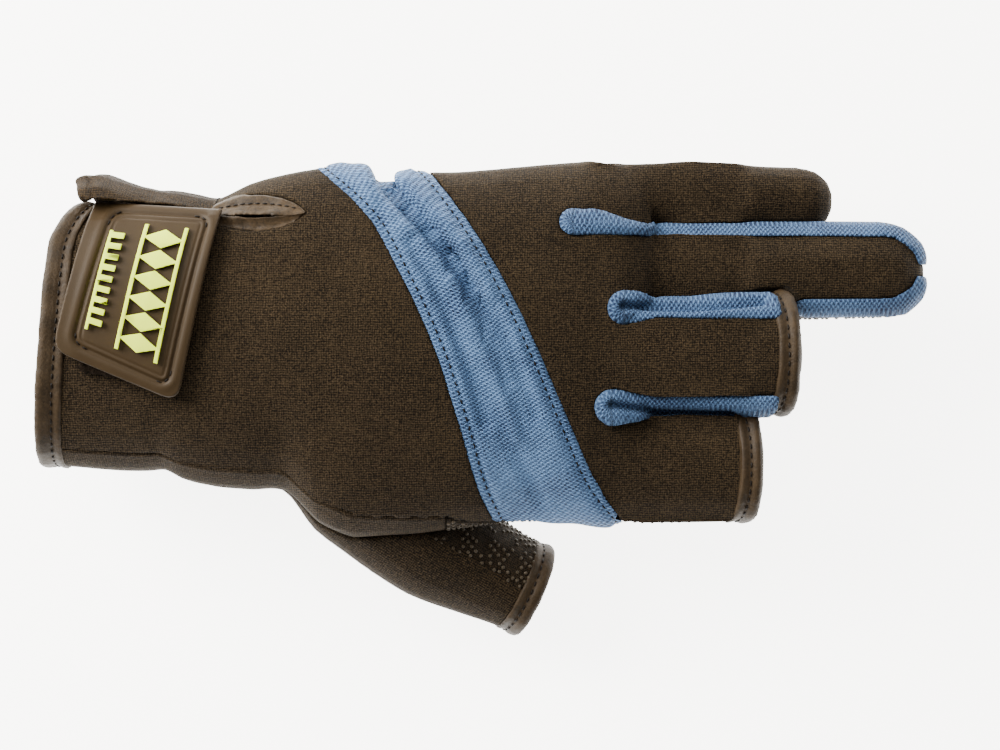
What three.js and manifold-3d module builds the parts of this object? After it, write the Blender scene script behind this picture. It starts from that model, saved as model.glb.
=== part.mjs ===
// A three-finger fishing glove for the left hand, in the form that it has when worn.
// Millimetres. +X runs to the fingertips, +Y to the little finger, +Z out of the back of the hand.
// The origin is the middle of the wrist opening.
import * as THREE from "three";
import { mergeVertices } from "three/addons/utils/BufferGeometryUtils.js";
import Module from "manifold-3d";

const wasm = await Module();
wasm.setup();

// Driving dimensions: the hand of the glove.
const palmLength = 158;
const palmDepth = 41;
const cuffSlant = 4.5;
const bodySquareness = 2.4;
const fingerSquareness = 2.1;

// Driving dimensions: walls, bindings and clearances.
const neoprene = 2.4;
const meshWall = 1.6;
const gussetRise = 0.65;
const seamGap = 0.3;
const fingerGap = 1.6;
const bindingWidth = 4.6;
const bindingRise = 0.6;
const cuffBindingWidth = 5.6;

// Driving dimensions: fingers. An open finger ends at its binding and a closed one at its tip.
const littleLength = 49;
const ringLength = 72.6;
const middleLength = 34.4;
const indexLength = 25.4;
const littleWidth = 17.4;
const ringWidth = 24.4;
const middleWidth = 27.5;
const indexWidth = 30.8;
const fingerRoot = 22;
const openingTilt = 15;
const openingTaper = 8;
const gussetWidth = 8.4;

// Driving dimensions: thumb, closure and vent.
const thumbWidth = 24;
const thumbLength = 92;
const thumbSpread = 31;
const thumbOpeningTurn = 6;
const thumbDip = 10;
const strapWidth = 34.5;
const strapThickness = 2.4;
const padThickness = 1.2;
const patchThickness = 2;
const patchCorner = 4.5;
const patchLength = 50;
const markRise = 0.8;
const ventReach = 26;
const ventWidth = 9;
const ventGap = 2.2;

// Mesh densities.
const bodySides = 24;
const fingerSides = 14;
const bandSides = 46;
const bandRings = 21;
const farAway = 400;

// Fingers lie side by side, and each may press into the last by a share of its width. A flared one
// widens by a share of its width towards its opening.
const fingers = [
  { name: "little", length: littleLength, width: littleWidth, closed: true, press: 0, flare: 0 },
  { name: "ring", length: ringLength, width: ringWidth, closed: true, press: 0, flare: 0 },
  { name: "middle", length: middleLength, width: middleWidth, closed: false, press: 0.145, flare: 0.19 },
  { name: "index", length: indexLength, width: indexWidth, closed: false, press: 0.01, flare: 0 },
];

// Sections and slopes of the fingers: rise is a share of palmDepth, the others of the finger's width.
const fingerShapes = [
  { deep: 0.98, rise: -0.14, bend: -0.1, dip: -0.13 },
  { deep: 0.92, rise: -0.08, bend: 0, dip: -0.03 },
  { deep: 0.84, rise: 0.13, bend: 0.01, dip: 0.03 },
  { deep: 0.78, rise: 0, bend: 0, dip: 0 },
];
const littleEdge = 0.471;
let stackEdge = 0;
fingers.forEach((finger, i) => {
  Object.assign(finger, fingerShapes[i]);
  stackEdge += finger.press * finger.width;
  finger.across = stackEdge - finger.width / 2;
  stackEdge -= finger.width;
  finger.height = finger.rise * palmDepth;
});
const palmWidth = -stackEdge;
fingers.forEach((finger) => (finger.across += littleEdge * palmWidth));
const [little, ring, middle, index] = fingers;

// Sections of the hand: along is a share of palmLength, little and thumb are shares of palmWidth to
// each side, back and palm are shares of palmDepth, and lean drops the little-finger side.
const bodyRows = [
  { along: -0.06, little: 0.343, thumb: 0.361, back: 0.485, palm: 0.485, lean: 0 },
  { along: 0.07, little: 0.346, thumb: 0.384, back: 0.5, palm: 0.485, lean: 0 },
  { along: 0.16, little: 0.351, thumb: 0.39, back: 0.51, palm: 0.485, lean: 0 },
  { along: 0.185, little: 0.353, thumb: 0.388, back: 0.512, palm: 0.485, lean: 0 },
  { along: 0.215, little: 0.354, thumb: 0.412, back: 0.513, palm: 0.485, lean: 0 },
  { along: 0.27, little: 0.358, thumb: 0.432, back: 0.514, palm: 0.48, lean: 0 },
  { along: 0.33, little: 0.405, thumb: 0.439, back: 0.515, palm: 0.475, lean: 0.01 },
  { along: 0.392, little: 0.431, thumb: 0.446, back: 0.517, palm: 0.475, lean: 0.01 },
  { along: 0.443, little: 0.446, thumb: 0.53, back: 0.517, palm: 0.48, lean: 0.02 },
  { along: 0.5, little: 0.443, thumb: 0.571, back: 0.51, palm: 0.485, lean: 0.03 },
  { along: 0.53, little: 0.436, thumb: 0.57, back: 0.508, palm: 0.485, lean: 0.03 },
  { along: 0.557, little: 0.412, thumb: 0.567, back: 0.505, palm: 0.485, lean: 0.04 },
  { along: 0.587, little: 0.428, thumb: 0.564, back: 0.5, palm: 0.485, lean: 0.04 },
  { along: 0.68, little: 0.44, thumb: 0.545, back: 0.485, palm: 0.46, lean: 0.06 },
  { along: 0.77, little: 0.454, thumb: 0.527, back: 0.46, palm: 0.42, lean: 0.08 },
  { along: 0.87, little: 0.466, thumb: 0.53, back: 0.42, palm: 0.37, lean: 0.1 },
  { along: 0.95, little: 0.467, thumb: 0.53, back: 0.36, palm: 0.32, lean: 0.12 },
  { along: 0.985, little: 0.44, thumb: 0.5, back: 0.28, palm: 0.26, lean: 0.12 },
  { along: 1, little: 0.4, thumb: 0.45, back: 0.19, palm: 0.19, lean: 0.1 },
];

// Sections of a finger: along is a share of its whole loft, wide and deep are shares of its size.
const fingerRows = [
  { along: 0, wide: 0.74, deep: 0.7 },
  { along: 0.14, wide: 0.92, deep: 0.88 },
  { along: 0.32, wide: 1, deep: 0.98 },
  { along: 0.6, wide: 1, deep: 1 },
  { along: 1, wide: 0.97, deep: 0.97 },
];

// Sections of the thumb: along and aside are shares of thumbLength, size is a share of thumbWidth.
const thumbRows = [
  { along: 0, aside: 0, wide: 0.98, deep: 0.95 },
  { along: 0.23, aside: 0.012, wide: 0.98, deep: 0.98 },
  { along: 0.34, aside: 0.008, wide: 1.31, deep: 1.1 },
  { along: 0.45, aside: 0.009, wide: 1.43, deep: 1.16 },
  { along: 0.56, aside: -0.002, wide: 1.44, deep: 1.17 },
  { along: 0.67, aside: -0.012, wide: 1.38, deep: 1.12 },
  { along: 0.84, aside: -0.015, wide: 1.14, deep: 1.0 },
  { along: 1, aside: 0, wide: 1.02, deep: 0.95 },
];

// Edges of the diagonal band: across is a share of palmWidth, near and far are shares of palmLength.
const bandRows = [
  { across: -0.64, near: 0.76, far: 0.99 },
  { across: -0.55, near: 0.744, far: 0.962 },
  { across: -0.44, near: 0.714, far: 0.91 },
  { across: -0.26, near: 0.682, far: 0.859 },
  { across: -0.05, near: 0.641, far: 0.804 },
  { across: 0.16, near: 0.582, far: 0.74 },
  { across: 0.32, near: 0.525, far: 0.679 },
  { across: 0.455, near: 0.435, far: 0.612 },
  { across: 0.6, near: 0.34, far: 0.5 },
];

// Folds of the band: at is a share of its width, depth a share of palmDepth (below zero is a ridge),
// and top and foot say how much of it is left at the little-finger end and the thumb end.
const bandFolds = [
  { at: 0.56, spread: 0.13, depth: 0.06, top: 1, foot: 0.15 },
  { at: 0.27, spread: 0.12, depth: 0.022, top: 0.1, foot: 0.8 },
  { at: 0.24, spread: 0.17, depth: -0.03, top: 1, foot: 0 },
  { at: 0.84, spread: 0.12, depth: -0.026, top: 1, foot: 0.4 },
];

// Height of the side seam: along is a share of palmLength, the others are shares of palmDepth.
const seamRows = [
  { along: -0.2, thumb: 0.3, little: -0.05 },
  { along: 0.47, thumb: 0.3, little: -0.05 },
  { along: 0.65, thumb: 0.22, little: -0.12 },
  { along: 0.76, thumb: 0.04, little: -0.17 },
  { along: 0.85, thumb: 0.01, little: -0.18 },
  { along: 2.2, thumb: 0.01, little: -0.18 },
];

// How far the strap stands off the wrist: along is a share of strapWidth, lift is in wall thicknesses.
const strapRows = [
  { along: 0, lift: 1.9 },
  { along: 0.1, lift: 2.4 },
  { along: 0.25, lift: 1.7 },
  { along: 0.55, lift: 0.3 },
  { along: 1, lift: 0 },
];

// Materials, one for each kind of cloth or rubber.
const cloth = (color, roughness) => new THREE.MeshStandardMaterial({ color, roughness, metalness: 0 });
const materials = {
  neoprene: cloth(0x2a241e, 0.92),
  blueMesh: cloth(0x3f6ea6, 0.85),
  grip: cloth(0x1d1915, 0.7),
  binding: cloth(0x3a3128, 0.6),
  rubber: cloth(0x40352a, 0.55),
  lime: cloth(0xcfe64a, 0.5),
  loop: cloth(0x1e1915, 1),
};

// A table's named columns, read smoothly at any place along it.
function smooth(rows, key, columns) {
  const places = rows.map((row) => row[key]);
  const values = rows.flatMap((row) => columns.map((name) => row[name]));
  const curve = new THREE.CubicInterpolant(places, values, columns.length);
  return (place) => {
    const found = curve.evaluate(THREE.MathUtils.clamp(place, places[0], places.at(-1)));
    return Object.fromEntries(columns.map((name, i) => [name, found[i]]));
  };
}

// A closed mesh through rings of the same number of points, capped flat at both ends.
function loft(rings) {
  const sides = rings[0].length;
  const middleOf = (ringPoints) =>
    ringPoints.reduce((sum, p) => sum.add(p), new THREE.Vector3()).divideScalar(sides);
  const points = [...rings.flat(), middleOf(rings[0]), middleOf(rings.at(-1))];
  const [startCap, endCap] = [points.length - 2, points.length - 1];
  const lastRing = (rings.length - 1) * sides;
  const faces = [];
  for (let side = 0; side < sides; side++) {
    const next = (side + 1) % sides;
    for (let row = 0; row < rings.length - 1; row++) {
      const [a, b] = [row * sides + side, row * sides + next];
      faces.push(a, b, a + sides, b, b + sides, a + sides);
    }
    faces.push(startCap, next, side, endCap, lastRing + side, lastRing + next);
  }
  const geometry = new THREE.BufferGeometry().setFromPoints(points);
  return geometry.setIndex(faces);
}

// A closed mesh as a solid for cutting and joining.
function solid(geometry) {
  geometry.deleteAttribute("normal");
  geometry.deleteAttribute("uv");
  const merged = mergeVertices(geometry, 1e-4);
  return new wasm.Manifold(
    new wasm.Mesh({
      numProp: 3,
      vertProperties: new Float32Array(merged.attributes.position.array),
      triVerts: new Uint32Array(merged.index.array),
    }),
  );
}

// An outline in X and Y, extruded up through the glove between two heights.
function prism(points, low = -farAway / 2, high = farAway / 2) {
  const shape = new THREE.Shape(points);
  const geometry = new THREE.ExtrudeGeometry(shape, { depth: high - low, bevelEnabled: false });
  return solid(geometry.translate(0, 0, low));
}

// An outline in X and Z, extruded across the glove between two places.
function wall(points, low, high) {
  const shape = new THREE.Shape(points);
  const geometry = new THREE.ExtrudeGeometry(shape, { depth: high - low, bevelEnabled: false });
  return solid(geometry.rotateX(Math.PI / 2).translate(0, high, 0));
}

// All space beyond a point, in a direction.
function beyond(point, direction) {
  const turn = new THREE.Quaternion().setFromUnitVectors(new THREE.Vector3(1, 0, 0), direction);
  const geometry = new THREE.BoxGeometry(farAway, farAway, farAway).translate(farAway / 2, 0, 0);
  return solid(geometry.applyQuaternion(turn).translate(point.x, point.y, point.z));
}

const power = (value, squareness) => Math.sign(value) * Math.abs(value) ** (2 / squareness);

// The hand, grown outwards by a clearance that may vary along it.
const bodyAt = smooth(bodyRows, "along", ["little", "thumb", "back", "palm", "lean"]);
function bodyPoint(x, angle, grow) {
  const row = bodyAt(x / palmLength);
  const [c, s] = [power(Math.cos(angle), bodySquareness), power(Math.sin(angle), bodySquareness)];
  const side = (c > 0 ? row.little : row.thumb) * palmWidth + grow;
  const height = (s > 0 ? row.back : row.palm) * palmDepth + grow;
  const lean = row.lean * palmDepth * Math.max(c, 0) ** 2;
  return new THREE.Vector3(x, c * side, s * height - lean);
}
function bodyRing(x, grow, sides = bodySides) {
  return Array.from({ length: sides }, (_, i) => bodyPoint(x, (2 * Math.PI * i) / sides, grow));
}
function body(grow, reach = 0) {
  const rings = bodyRows.map((row) => bodyRing(row.along * palmLength, grow));
  rings.at(-1).forEach((p) => (p.x += grow));
  const opening = rings[0].map((p) => p.clone().setX(p.x - reach));
  return solid(loft(reach ? [opening, ...rings] : rings));
}

// One finger, grown outwards. An open one tapers on beyond its opening, and a closed one rounds off.
function fingerEnd(finger) {
  return palmLength + finger.length;
}
function fingerSection(finger, x, grow) {
  const start = palmLength - fingerRoot;
  const share = (x - start) / (fingerEnd(finger) - start);
  const row = smooth(fingerRows, "along", ["wide", "deep"])(share);
  const bend = share * share;
  const flare = 1 + finger.flare * Math.max(0, (share - 0.55) / 0.45);
  const wide = (finger.width / 2) * row.wide * flare + grow;
  const deep = ((finger.width * finger.deep) / 2) * row.deep + grow;
  const y = finger.across + finger.bend * finger.width * bend;
  const z = finger.height + finger.dip * finger.width * bend;
  return Array.from({ length: fingerSides }, (_, i) => {
    const angle = (2 * Math.PI * i) / fingerSides;
    const aside = power(Math.cos(angle), fingerSquareness) * wide;
    return new THREE.Vector3(x, y + aside, z + power(Math.sin(angle), fingerSquareness) * deep);
  });
}
function fingerTube(finger, grow) {
  const start = palmLength - fingerRoot;
  const end = fingerEnd(finger);
  const round = finger.closed ? finger.width * 0.52 : 0;
  const places = fingerRows.map((row) => start + row.along * (end - round - start));
  const rings = places.map((x) => fingerSection(finger, x, grow));
  if (finger.closed) {
    for (const turn of [30, 57, 78]) {
      const angle = THREE.MathUtils.degToRad(turn);
      const tip = fingerSection(finger, end - round + round * Math.sin(angle), 0);
      const centre = tip.reduce((sum, p) => sum.add(p), new THREE.Vector3()).divideScalar(fingerSides);
      const size = Math.cos(angle) ** 0.85 * (1 + grow / (finger.width / 2));
      tip.forEach((p) => p.sub(centre).multiplyScalar(size).add(centre));
      tip.forEach((p) => (p.x += grow * Math.sin(angle)));
      rings.push(tip);
    }
  } else {
    const edge = rings.at(-1);
    rings.push(edge.map((p) => p.clone().setX(p.x + bindingWidth / 3)));
    const narrow = fingerSection(finger, end, grow - openingTaper);
    rings.push(narrow.map((p) => p.setX(p.x + fingerRoot / 2)));
  }
  return solid(loft(rings));
}

// A finger with its sides pressed in by the neighbour that lies over it.
const over = { little: ring, ring: middle, index: middle };
function pressedTube(finger, grow) {
  const upper = over[finger.name];
  const tube = fingerTube(finger, grow);
  return upper ? tube.subtract(fingerTube(upper, fingerGap - grow)) : tube;
}

// The thumb runs from inside the hand, down and away from the index finger.
const thumbDirection = new THREE.Vector3(1, 0, 0)
  .applyAxisAngle(new THREE.Vector3(0, 1, 0), THREE.MathUtils.degToRad(thumbDip))
  .applyAxisAngle(new THREE.Vector3(0, 0, 1), THREE.MathUtils.degToRad(-thumbSpread));
const thumbSide = new THREE.Vector3(0, 0, 1).cross(thumbDirection).normalize();
const thumbUp = thumbDirection.clone().cross(thumbSide);
const thumbEnd = new THREE.Vector3(0.804 * palmLength, -0.742 * palmWidth, -0.46 * palmDepth);
const thumbAt = smooth(thumbRows, "along", ["aside", "wide", "deep"]);
function thumbTube(grow, reach = 0) {
  const ringAt = (along, further) => {
    const row = thumbAt(along);
    const centre = thumbEnd
      .clone()
      .addScaledVector(thumbDirection, (along - 1) * thumbLength + further)
      .addScaledVector(thumbSide, row.aside * thumbLength);
    return Array.from({ length: fingerSides }, (_, i) => {
      const angle = (2 * Math.PI * i) / fingerSides;
      return centre
        .clone()
        .addScaledVector(thumbSide, Math.cos(angle) * ((row.wide * thumbWidth) / 2 + grow))
        .addScaledVector(thumbUp, Math.sin(angle) * ((row.deep * thumbWidth) / 2 + grow));
    });
  };
  const rings = thumbRows.map((row) => ringAt(row.along, 0));
  return solid(loft(reach ? [...rings, ringAt(1, reach)] : rings));
}

// Planes of the four openings, each facing out of its hole.
const cuffOut = new THREE.Vector3(-1, 0, 0).applyAxisAngle(
  new THREE.Vector3(0, 0, 1),
  THREE.MathUtils.degToRad(-cuffSlant),
);
const fingerOut = new THREE.Vector3(1, 0, 0).applyAxisAngle(
  new THREE.Vector3(0, 1, 0),
  THREE.MathUtils.degToRad(openingTilt),
);
const thumbOut = thumbDirection
  .clone()
  .applyAxisAngle(new THREE.Vector3(0, 0, 1), THREE.MathUtils.degToRad(thumbOpeningTurn));
const fingerMiddle = (finger) => new THREE.Vector3(fingerEnd(finger), finger.across, finger.height);
const openings = {
  cuff: { at: new THREE.Vector3(0, 0, 0), out: cuffOut, width: cuffBindingWidth },
  index: { at: fingerMiddle(index), out: fingerOut, width: bindingWidth },
  middle: { at: fingerMiddle(middle), out: fingerOut, width: bindingWidth },
  thumb: { at: thumbEnd, out: thumbOut, width: bindingWidth },
};

// What lies past an opening's plane, moved inwards by a distance.
function past(opening, inwards) {
  return beyond(opening.at.clone().addScaledVector(opening.out, -inwards), opening.out);
}

// A bound edge: the last stretch of a tube, a little proud of it inside and out.
function binding(outer, inner, opening) {
  return outer.subtract(inner).intersect(past(opening, opening.width)).subtract(past(opening, 0));
}

// The hollow that the hand fills, and the shells around it.
const overrun = 30;
const hollow = wasm.Manifold.union([
  body(-neoprene, overrun),
  ...fingers.map((finger) => pressedTube(finger, -neoprene)),
]);
const thumbHollow = thumbTube(-neoprene, overrun);
const handForm = wasm.Manifold.union([body(0), ...fingers.map((finger) => pressedTube(finger, 0))]);
const edges = wasm.Manifold.union([
  past(openings.cuff, cuffBindingWidth + seamGap),
  past(openings.index, bindingWidth + seamGap).intersect(pressedTube(index, gussetRise + 0.05)),
  past(openings.middle, bindingWidth + seamGap).intersect(fingerTube(middle, gussetRise + 0.05)),
]);
const handShell = handForm.subtract(hollow).subtract(thumbHollow).subtract(edges);

// Above or below the side seam, which steps from the thumb side to the little side between two fingers.
const stepAcross = (ring.across - ringWidth / 2 + middle.across + middleWidth / 2) / 2;
function seamSide(up, gap) {
  const part = (column, low, high) => {
    const height = (row) => row[column] * palmDepth + gap;
    const line = seamRows.map((row) => new THREE.Vector2(row.along * palmLength, height(row)));
    const [first, last] = [line[0], line.at(-1)];
    const limit = up ? farAway / 2 : -farAway / 2;
    return wall([...line, new THREE.Vector2(last.x, limit), new THREE.Vector2(first.x, limit)], low, high);
  };
  const step = stepAcross + gap;
  return part("thumb", -farAway / 2, step).add(part("little", step - 0.01, farAway / 2));
}

// The diagonal band's two edges, and the plan of what lies between or beside them.
const bandAt = smooth(bandRows, "across", ["near", "far"]);
function bandEdge(column, shift) {
  const [first, last] = [bandRows[0].across, bandRows.at(-1).across];
  return Array.from({ length: 21 }, (_, i) => {
    const across = first + ((last - first) * i) / 20;
    return new THREE.Vector2(bandAt(across)[column] * palmLength + shift, across * palmWidth);
  });
}
const bandPlan = [...bandEdge("near", 0), ...bandEdge("far", 0).reverse()];
const behindBand = [
  ...bandEdge("near", -seamGap),
  new THREE.Vector2(-farAway / 4, palmWidth),
  new THREE.Vector2(-farAway / 4, -palmWidth),
];
const aheadOfBand = [
  ...bandEdge("far", seamGap),
  new THREE.Vector2(farAway, palmWidth),
  new THREE.Vector2(farAway, -palmWidth),
];

// The band's surface follows the hand, and dips and rises in folds that run along it.
function bandDent(x, y) {
  const row = bandAt(y / palmWidth);
  const share = (x / palmLength - row.near) / (row.far - row.near);
  const climb = THREE.MathUtils.clamp(y / palmWidth + 0.5, 0, 1);
  return bandFolds.reduce((sum, fold) => {
    const strength = THREE.MathUtils.lerp(fold.foot, fold.top, climb);
    return sum + fold.depth * palmDepth * strength * Math.exp(-(((share - fold.at) / fold.spread) ** 2));
  }, 0);
}
function bandForm(grow) {
  const rings = [];
  for (let i = 0; i <= bandRings; i++) {
    const x = THREE.MathUtils.lerp(0.36, 0.985, i / bandRings) * palmLength;
    const plain = bodyRing(x, grow, bandSides);
    const sunk = (p, side) => bodyPoint(x, (2 * Math.PI * side) / bandSides, grow - bandDent(x, p.y));
    rings.push(plain.map(sunk));
  }
  return solid(loft(rings));
}

// Gussets: from is where the round end starts, as a share of palmLength; head, high and low are how far
// each one shows at its round end and then on its upper and its lower finger, as shares of gussetWidth.
const gussets = [
  { name: "gusset_little_ring", upper: little, lower: ring, from: 0.845, head: 0.38, high: 0.04, low: 0.37 },
  { name: "gusset_ring_middle", upper: ring, lower: middle, from: 0.922, head: 0.5, high: 0.33, low: 0.3 },
  { name: "gusset_middle_index", upper: middle, lower: index, from: 0.902, head: 0.5, high: 0.34, low: 0.34 },
];

// The edge of a gusset round a closed finger's side and tip.
function tipEdge(finger, side, reveal) {
  const round = finger.width * 0.52;
  return [0, 20, 40, 60, 78].map((turn) => {
    const angle = THREE.MathUtils.degToRad(turn);
    const x = fingerEnd(finger) - round + (round - reveal * 0.6) * Math.sin(angle);
    return new THREE.Vector2(x, finger.across + side * (finger.width / 2 - reveal) * Math.cos(angle));
  });
}

// The plan of a gusset: a hairpin along the facing sides of two fingers.
function gussetPlan({ upper, lower, from, head, high, low }, grow) {
  const crease = (upper.across - upper.width / 2 + lower.across + lower.width / 2) / 2;
  const radius = head * gussetWidth + grow;
  const centre = new THREE.Vector2(from * palmLength + head * gussetWidth, crease);
  const points = [90, 112, 135, 157, 180, 203, 225, 248, 270].map((turn) => {
    const angle = THREE.MathUtils.degToRad(turn);
    return new THREE.Vector2(Math.cos(angle), Math.sin(angle)).multiplyScalar(radius).add(centre);
  });
  const edge = (finger, side, share) => {
    const reveal = share * gussetWidth + grow;
    const tail = new THREE.Vector2(palmLength, crease + side * reveal);
    const longer = finger.closed && finger.length > (finger === upper ? lower : upper).length;
    const shown = reveal + finger.width / 2 - side * (finger.across - crease);
    const rest = longer ? tipEdge(finger, -side, shown) : [];
    const far = new THREE.Vector2(palmLength + farAway / 4, (rest.at(-1) ?? tail).y);
    return [tail, ...rest, far];
  };
  return [...points, ...edge(lower, -1, low), ...edge(upper, 1, high).reverse()];
}
const gussetForm = wasm.Manifold.union([
  body(gussetRise),
  ...fingers.map((finger) => pressedTube(finger, gussetRise)),
]);

// Panels of the hand.
const above = seamSide(true, 0);
const below = seamSide(false, -seamGap);
const gussetCuts = wasm.Manifold.union(
  gussets.map((gusset) => prism(gussetPlan(gusset, seamGap))),
);

// The wrist vent: a lens-shaped slot that runs out from under the closure.
function lens(half, from, to) {
  const [count, points] = [10, []];
  for (let i = 0; i <= count; i++) {
    const share = i / count;
    const x = THREE.MathUtils.lerp(from, to, share);
    points.push(new THREE.Vector2(x, half * Math.sin(Math.PI * share) ** 0.6));
  }
  for (let i = count - 1; i > 0; i--) points.push(new THREE.Vector2(points[i].x, -points[i].y));
  return points;
}
const ventAcross = 0.312 * palmWidth;
const ventEnd = 0.428 * palmLength;
const ventStart = ventEnd - ventReach;
const atVent = (points) => prism(points.map((p) => new THREE.Vector2(p.x, p.y + ventAcross)), 0);
const ventHole = atVent(lens(ventWidth / 2 + seamGap, ventStart - seamGap, ventEnd + seamGap));
const ventRoom = atVent(lens(ventWidth / 2 + seamGap, ventStart - seamGap, ventEnd + seamGap)).intersect(
  body(bindingRise + seamGap),
);
const ventBinding = atVent(lens(ventWidth / 2, ventStart, ventEnd))
  .subtract(atVent(lens(ventGap / 2, ventStart + 3, ventEnd - 3)))
  .intersect(body(bindingRise).subtract(body(-neoprene - bindingRise)));

const back = handShell.intersect(above);
const wristBack = back.intersect(prism(behindBand)).subtract(ventHole);
const fingerBack = back.intersect(prism(aheadOfBand)).subtract(gussetCuts);
const band = bandForm(0)
  .subtract(bandForm(-meshWall))
  .intersect(prism(bandPlan))
  .intersect(above)
  .subtract(thumbHollow)
  .subtract(wasm.Manifold.union(fingers.map((finger) => fingerTube(finger, seamGap))));
const ringTip = palmLength + ringLength;
const tipGap = prism([
  new THREE.Vector2(ringTip - ringWidth, ring.across - 0.6),
  new THREE.Vector2(ringTip + overrun, ring.across - 0.6),
  new THREE.Vector2(ringTip + overrun, ring.across + 0.6),
  new THREE.Vector2(ringTip - ringWidth, ring.across + 0.6),
]);
const gussetShell = gussetForm.subtract(hollow).subtract(edges).intersect(above);
const gussetSolids = gussets.map((gusset) =>
  gussetShell.intersect(prism(gussetPlan(gusset, 0))).subtract(tipGap),
);

// The palm: plain cloth at the heel, grip cloth towards the fingers.
const palm = handShell.intersect(below);
const heelEdge = 0.655 * palmLength;
const heel = palm.subtract(beyond(new THREE.Vector3(heelEdge, 0, 0), new THREE.Vector3(1, 0, 0)));
const gripEdge = new THREE.Vector3(heelEdge + seamGap, 0, 0);
const grip = palm.intersect(beyond(gripEdge, new THREE.Vector3(1, 0, 0)));

// The thumb, outside the hand, split lengthways by a seam.
const thumbShell = thumbTube(0, overrun)
  .subtract(thumbHollow)
  .subtract(wasm.Manifold.union([body(seamGap), ...fingers.map((finger) => fingerTube(finger, seamGap))]))
  .subtract(past(openings.thumb, bindingWidth + seamGap));
const thumbPanel = thumbShell.subtract(beyond(thumbEnd, thumbSide));
const thumbGrip = thumbShell.intersect(
  beyond(thumbEnd.clone().addScaledVector(thumbSide, seamGap), thumbSide),
);

// Closure: the strap wraps the little-finger side, and the patch lies on its pad over the back.
const strapStart = 0.055 * palmLength;
const strapLift = smooth(strapRows, "along", ["lift"]);
function strapForm(grow) {
  const shares = [0, 0.08, 0.16, 0.28, 0.42, 0.56, 0.78, 1];
  const rings = shares.map((share) => {
    return bodyRing(strapStart + share * strapWidth, strapLift(share).lift * neoprene + grow);
  });
  return solid(loft(rings));
}
const strapTop = (x) => 0.348 * palmWidth - 0.065 * (x - strapStart);
const strapPlan = (shift) => [
  new THREE.Vector2(-overrun, strapTop(-overrun) + shift),
  new THREE.Vector2(palmLength / 2, strapTop(palmLength / 2) + shift),
  new THREE.Vector2(palmLength / 2, palmWidth),
  new THREE.Vector2(-overrun, palmWidth),
];
const underside = [
  new THREE.Vector2(-overrun, 0.08 * palmWidth),
  new THREE.Vector2(palmLength / 2, 0.08 * palmWidth),
  new THREE.Vector2(palmLength / 2, palmWidth),
  new THREE.Vector2(-overrun, palmWidth),
];
const strap = strapForm(strapThickness + seamGap)
  .subtract(strapForm(seamGap))
  .intersect(prism(strapPlan(seamGap), 0).add(prism(underside, -farAway / 2, 0.01)))
  .subtract(body(seamGap))
  .subtract(ventRoom);

// A plan with rounded corners: each row has its place and its corner radius.
function rounded(corners) {
  const points = [];
  corners.forEach(([x, y, radius], i) => {
    const here = new THREE.Vector2(x, y);
    const towards = ([a, b]) => new THREE.Vector2(a, b).sub(here).setLength(radius).add(here);
    const [before, after] = [corners.at(i - 1), corners[(i + 1) % corners.length]].map(towards);
    const curve = new THREE.QuadraticBezierCurve(before, here, after);
    points.push(...curve.getPoints(4));
  });
  return points;
}
const patchAcross = 0.345 * palmWidth;
const patchPlan = (inset) => [
  [0.082 * palmLength + inset, patchAcross - inset, 0.3],
  [0.293 * palmLength - inset, patchAcross - 2.2 - inset, 0.3],
  [0.226 * palmLength - inset, patchAcross - patchLength - 2 + inset, patchCorner],
  [0.024 * palmLength + inset, patchAcross - 0.77 * patchLength + inset, patchCorner],
];
const layer = (low, high) => body(high).subtract(body(low));
const padTop = seamGap + padThickness;
const patchLow = padTop + seamGap;
const patchTop = patchLow + patchThickness;
const patch = layer(patchLow, patchTop).intersect(prism(rounded(patchPlan(0)), 0));
const pad = layer(seamGap, padTop).intersect(
  prism(
    rounded([
      [0.115 * palmLength, patchAcross - 8, 2],
      [0.25 * palmLength, patchAcross - 8, 2],
      [0.21 * palmLength, patchAcross - patchLength + 2, 2],
      [0.062 * palmLength, patchAcross - patchLength + 6, 2],
    ]),
    0,
  ),
);

// Raised marks on the patch: a plain row of lozenges between two rules, and a rule with blocks.
function alongPatch(u, v) {
  const corner = patchPlan(0).map(([x, y]) => new THREE.Vector2(x, y));
  const top = corner[0].clone().lerp(corner[1], u);
  const foot = corner[3].clone().lerp(corner[2], u);
  return top.lerp(foot, v);
}
const bar = (u0, u1, v0, v1) => [
  alongPatch(u0, v0),
  alongPatch(u1, v0),
  alongPatch(u1, v1),
  alongPatch(u0, v1),
];
const lozenge = (u0, u1, v0, v1) => [
  alongPatch((u0 + u1) / 2, v0),
  alongPatch(u1, (v0 + v1) / 2),
  alongPatch((u0 + u1) / 2, v1),
  alongPatch(u0, (v0 + v1) / 2),
];
function marks(outlines) {
  const plan = wasm.Manifold.union(outlines.map((points) => prism(points, 0)));
  return layer(patchTop + seamGap, patchTop + seamGap + markRise).intersect(plan);
}
const lozenges = 6;
const largeMarks = [bar(0.46, 0.49, 0.12, 0.85), bar(0.77, 0.8, 0.12, 0.85)];
for (let i = 0; i < lozenges; i++) {
  const [v0, v1] = [0.14 + (0.7 * i) / lozenges, 0.14 + (0.7 * (i + 0.93)) / lozenges];
  largeMarks.push(lozenge(0.475, 0.785, v0, v1));
}
const blocks = 9;
const smallMarks = [bar(0.21, 0.235, 0.18, 0.8)];
for (let i = 0; i < blocks; i++) {
  const v0 = 0.19 + (0.6 * i) / blocks;
  smallMarks.push(bar(0.23, 0.33, v0, v0 + 0.036));
}

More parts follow.
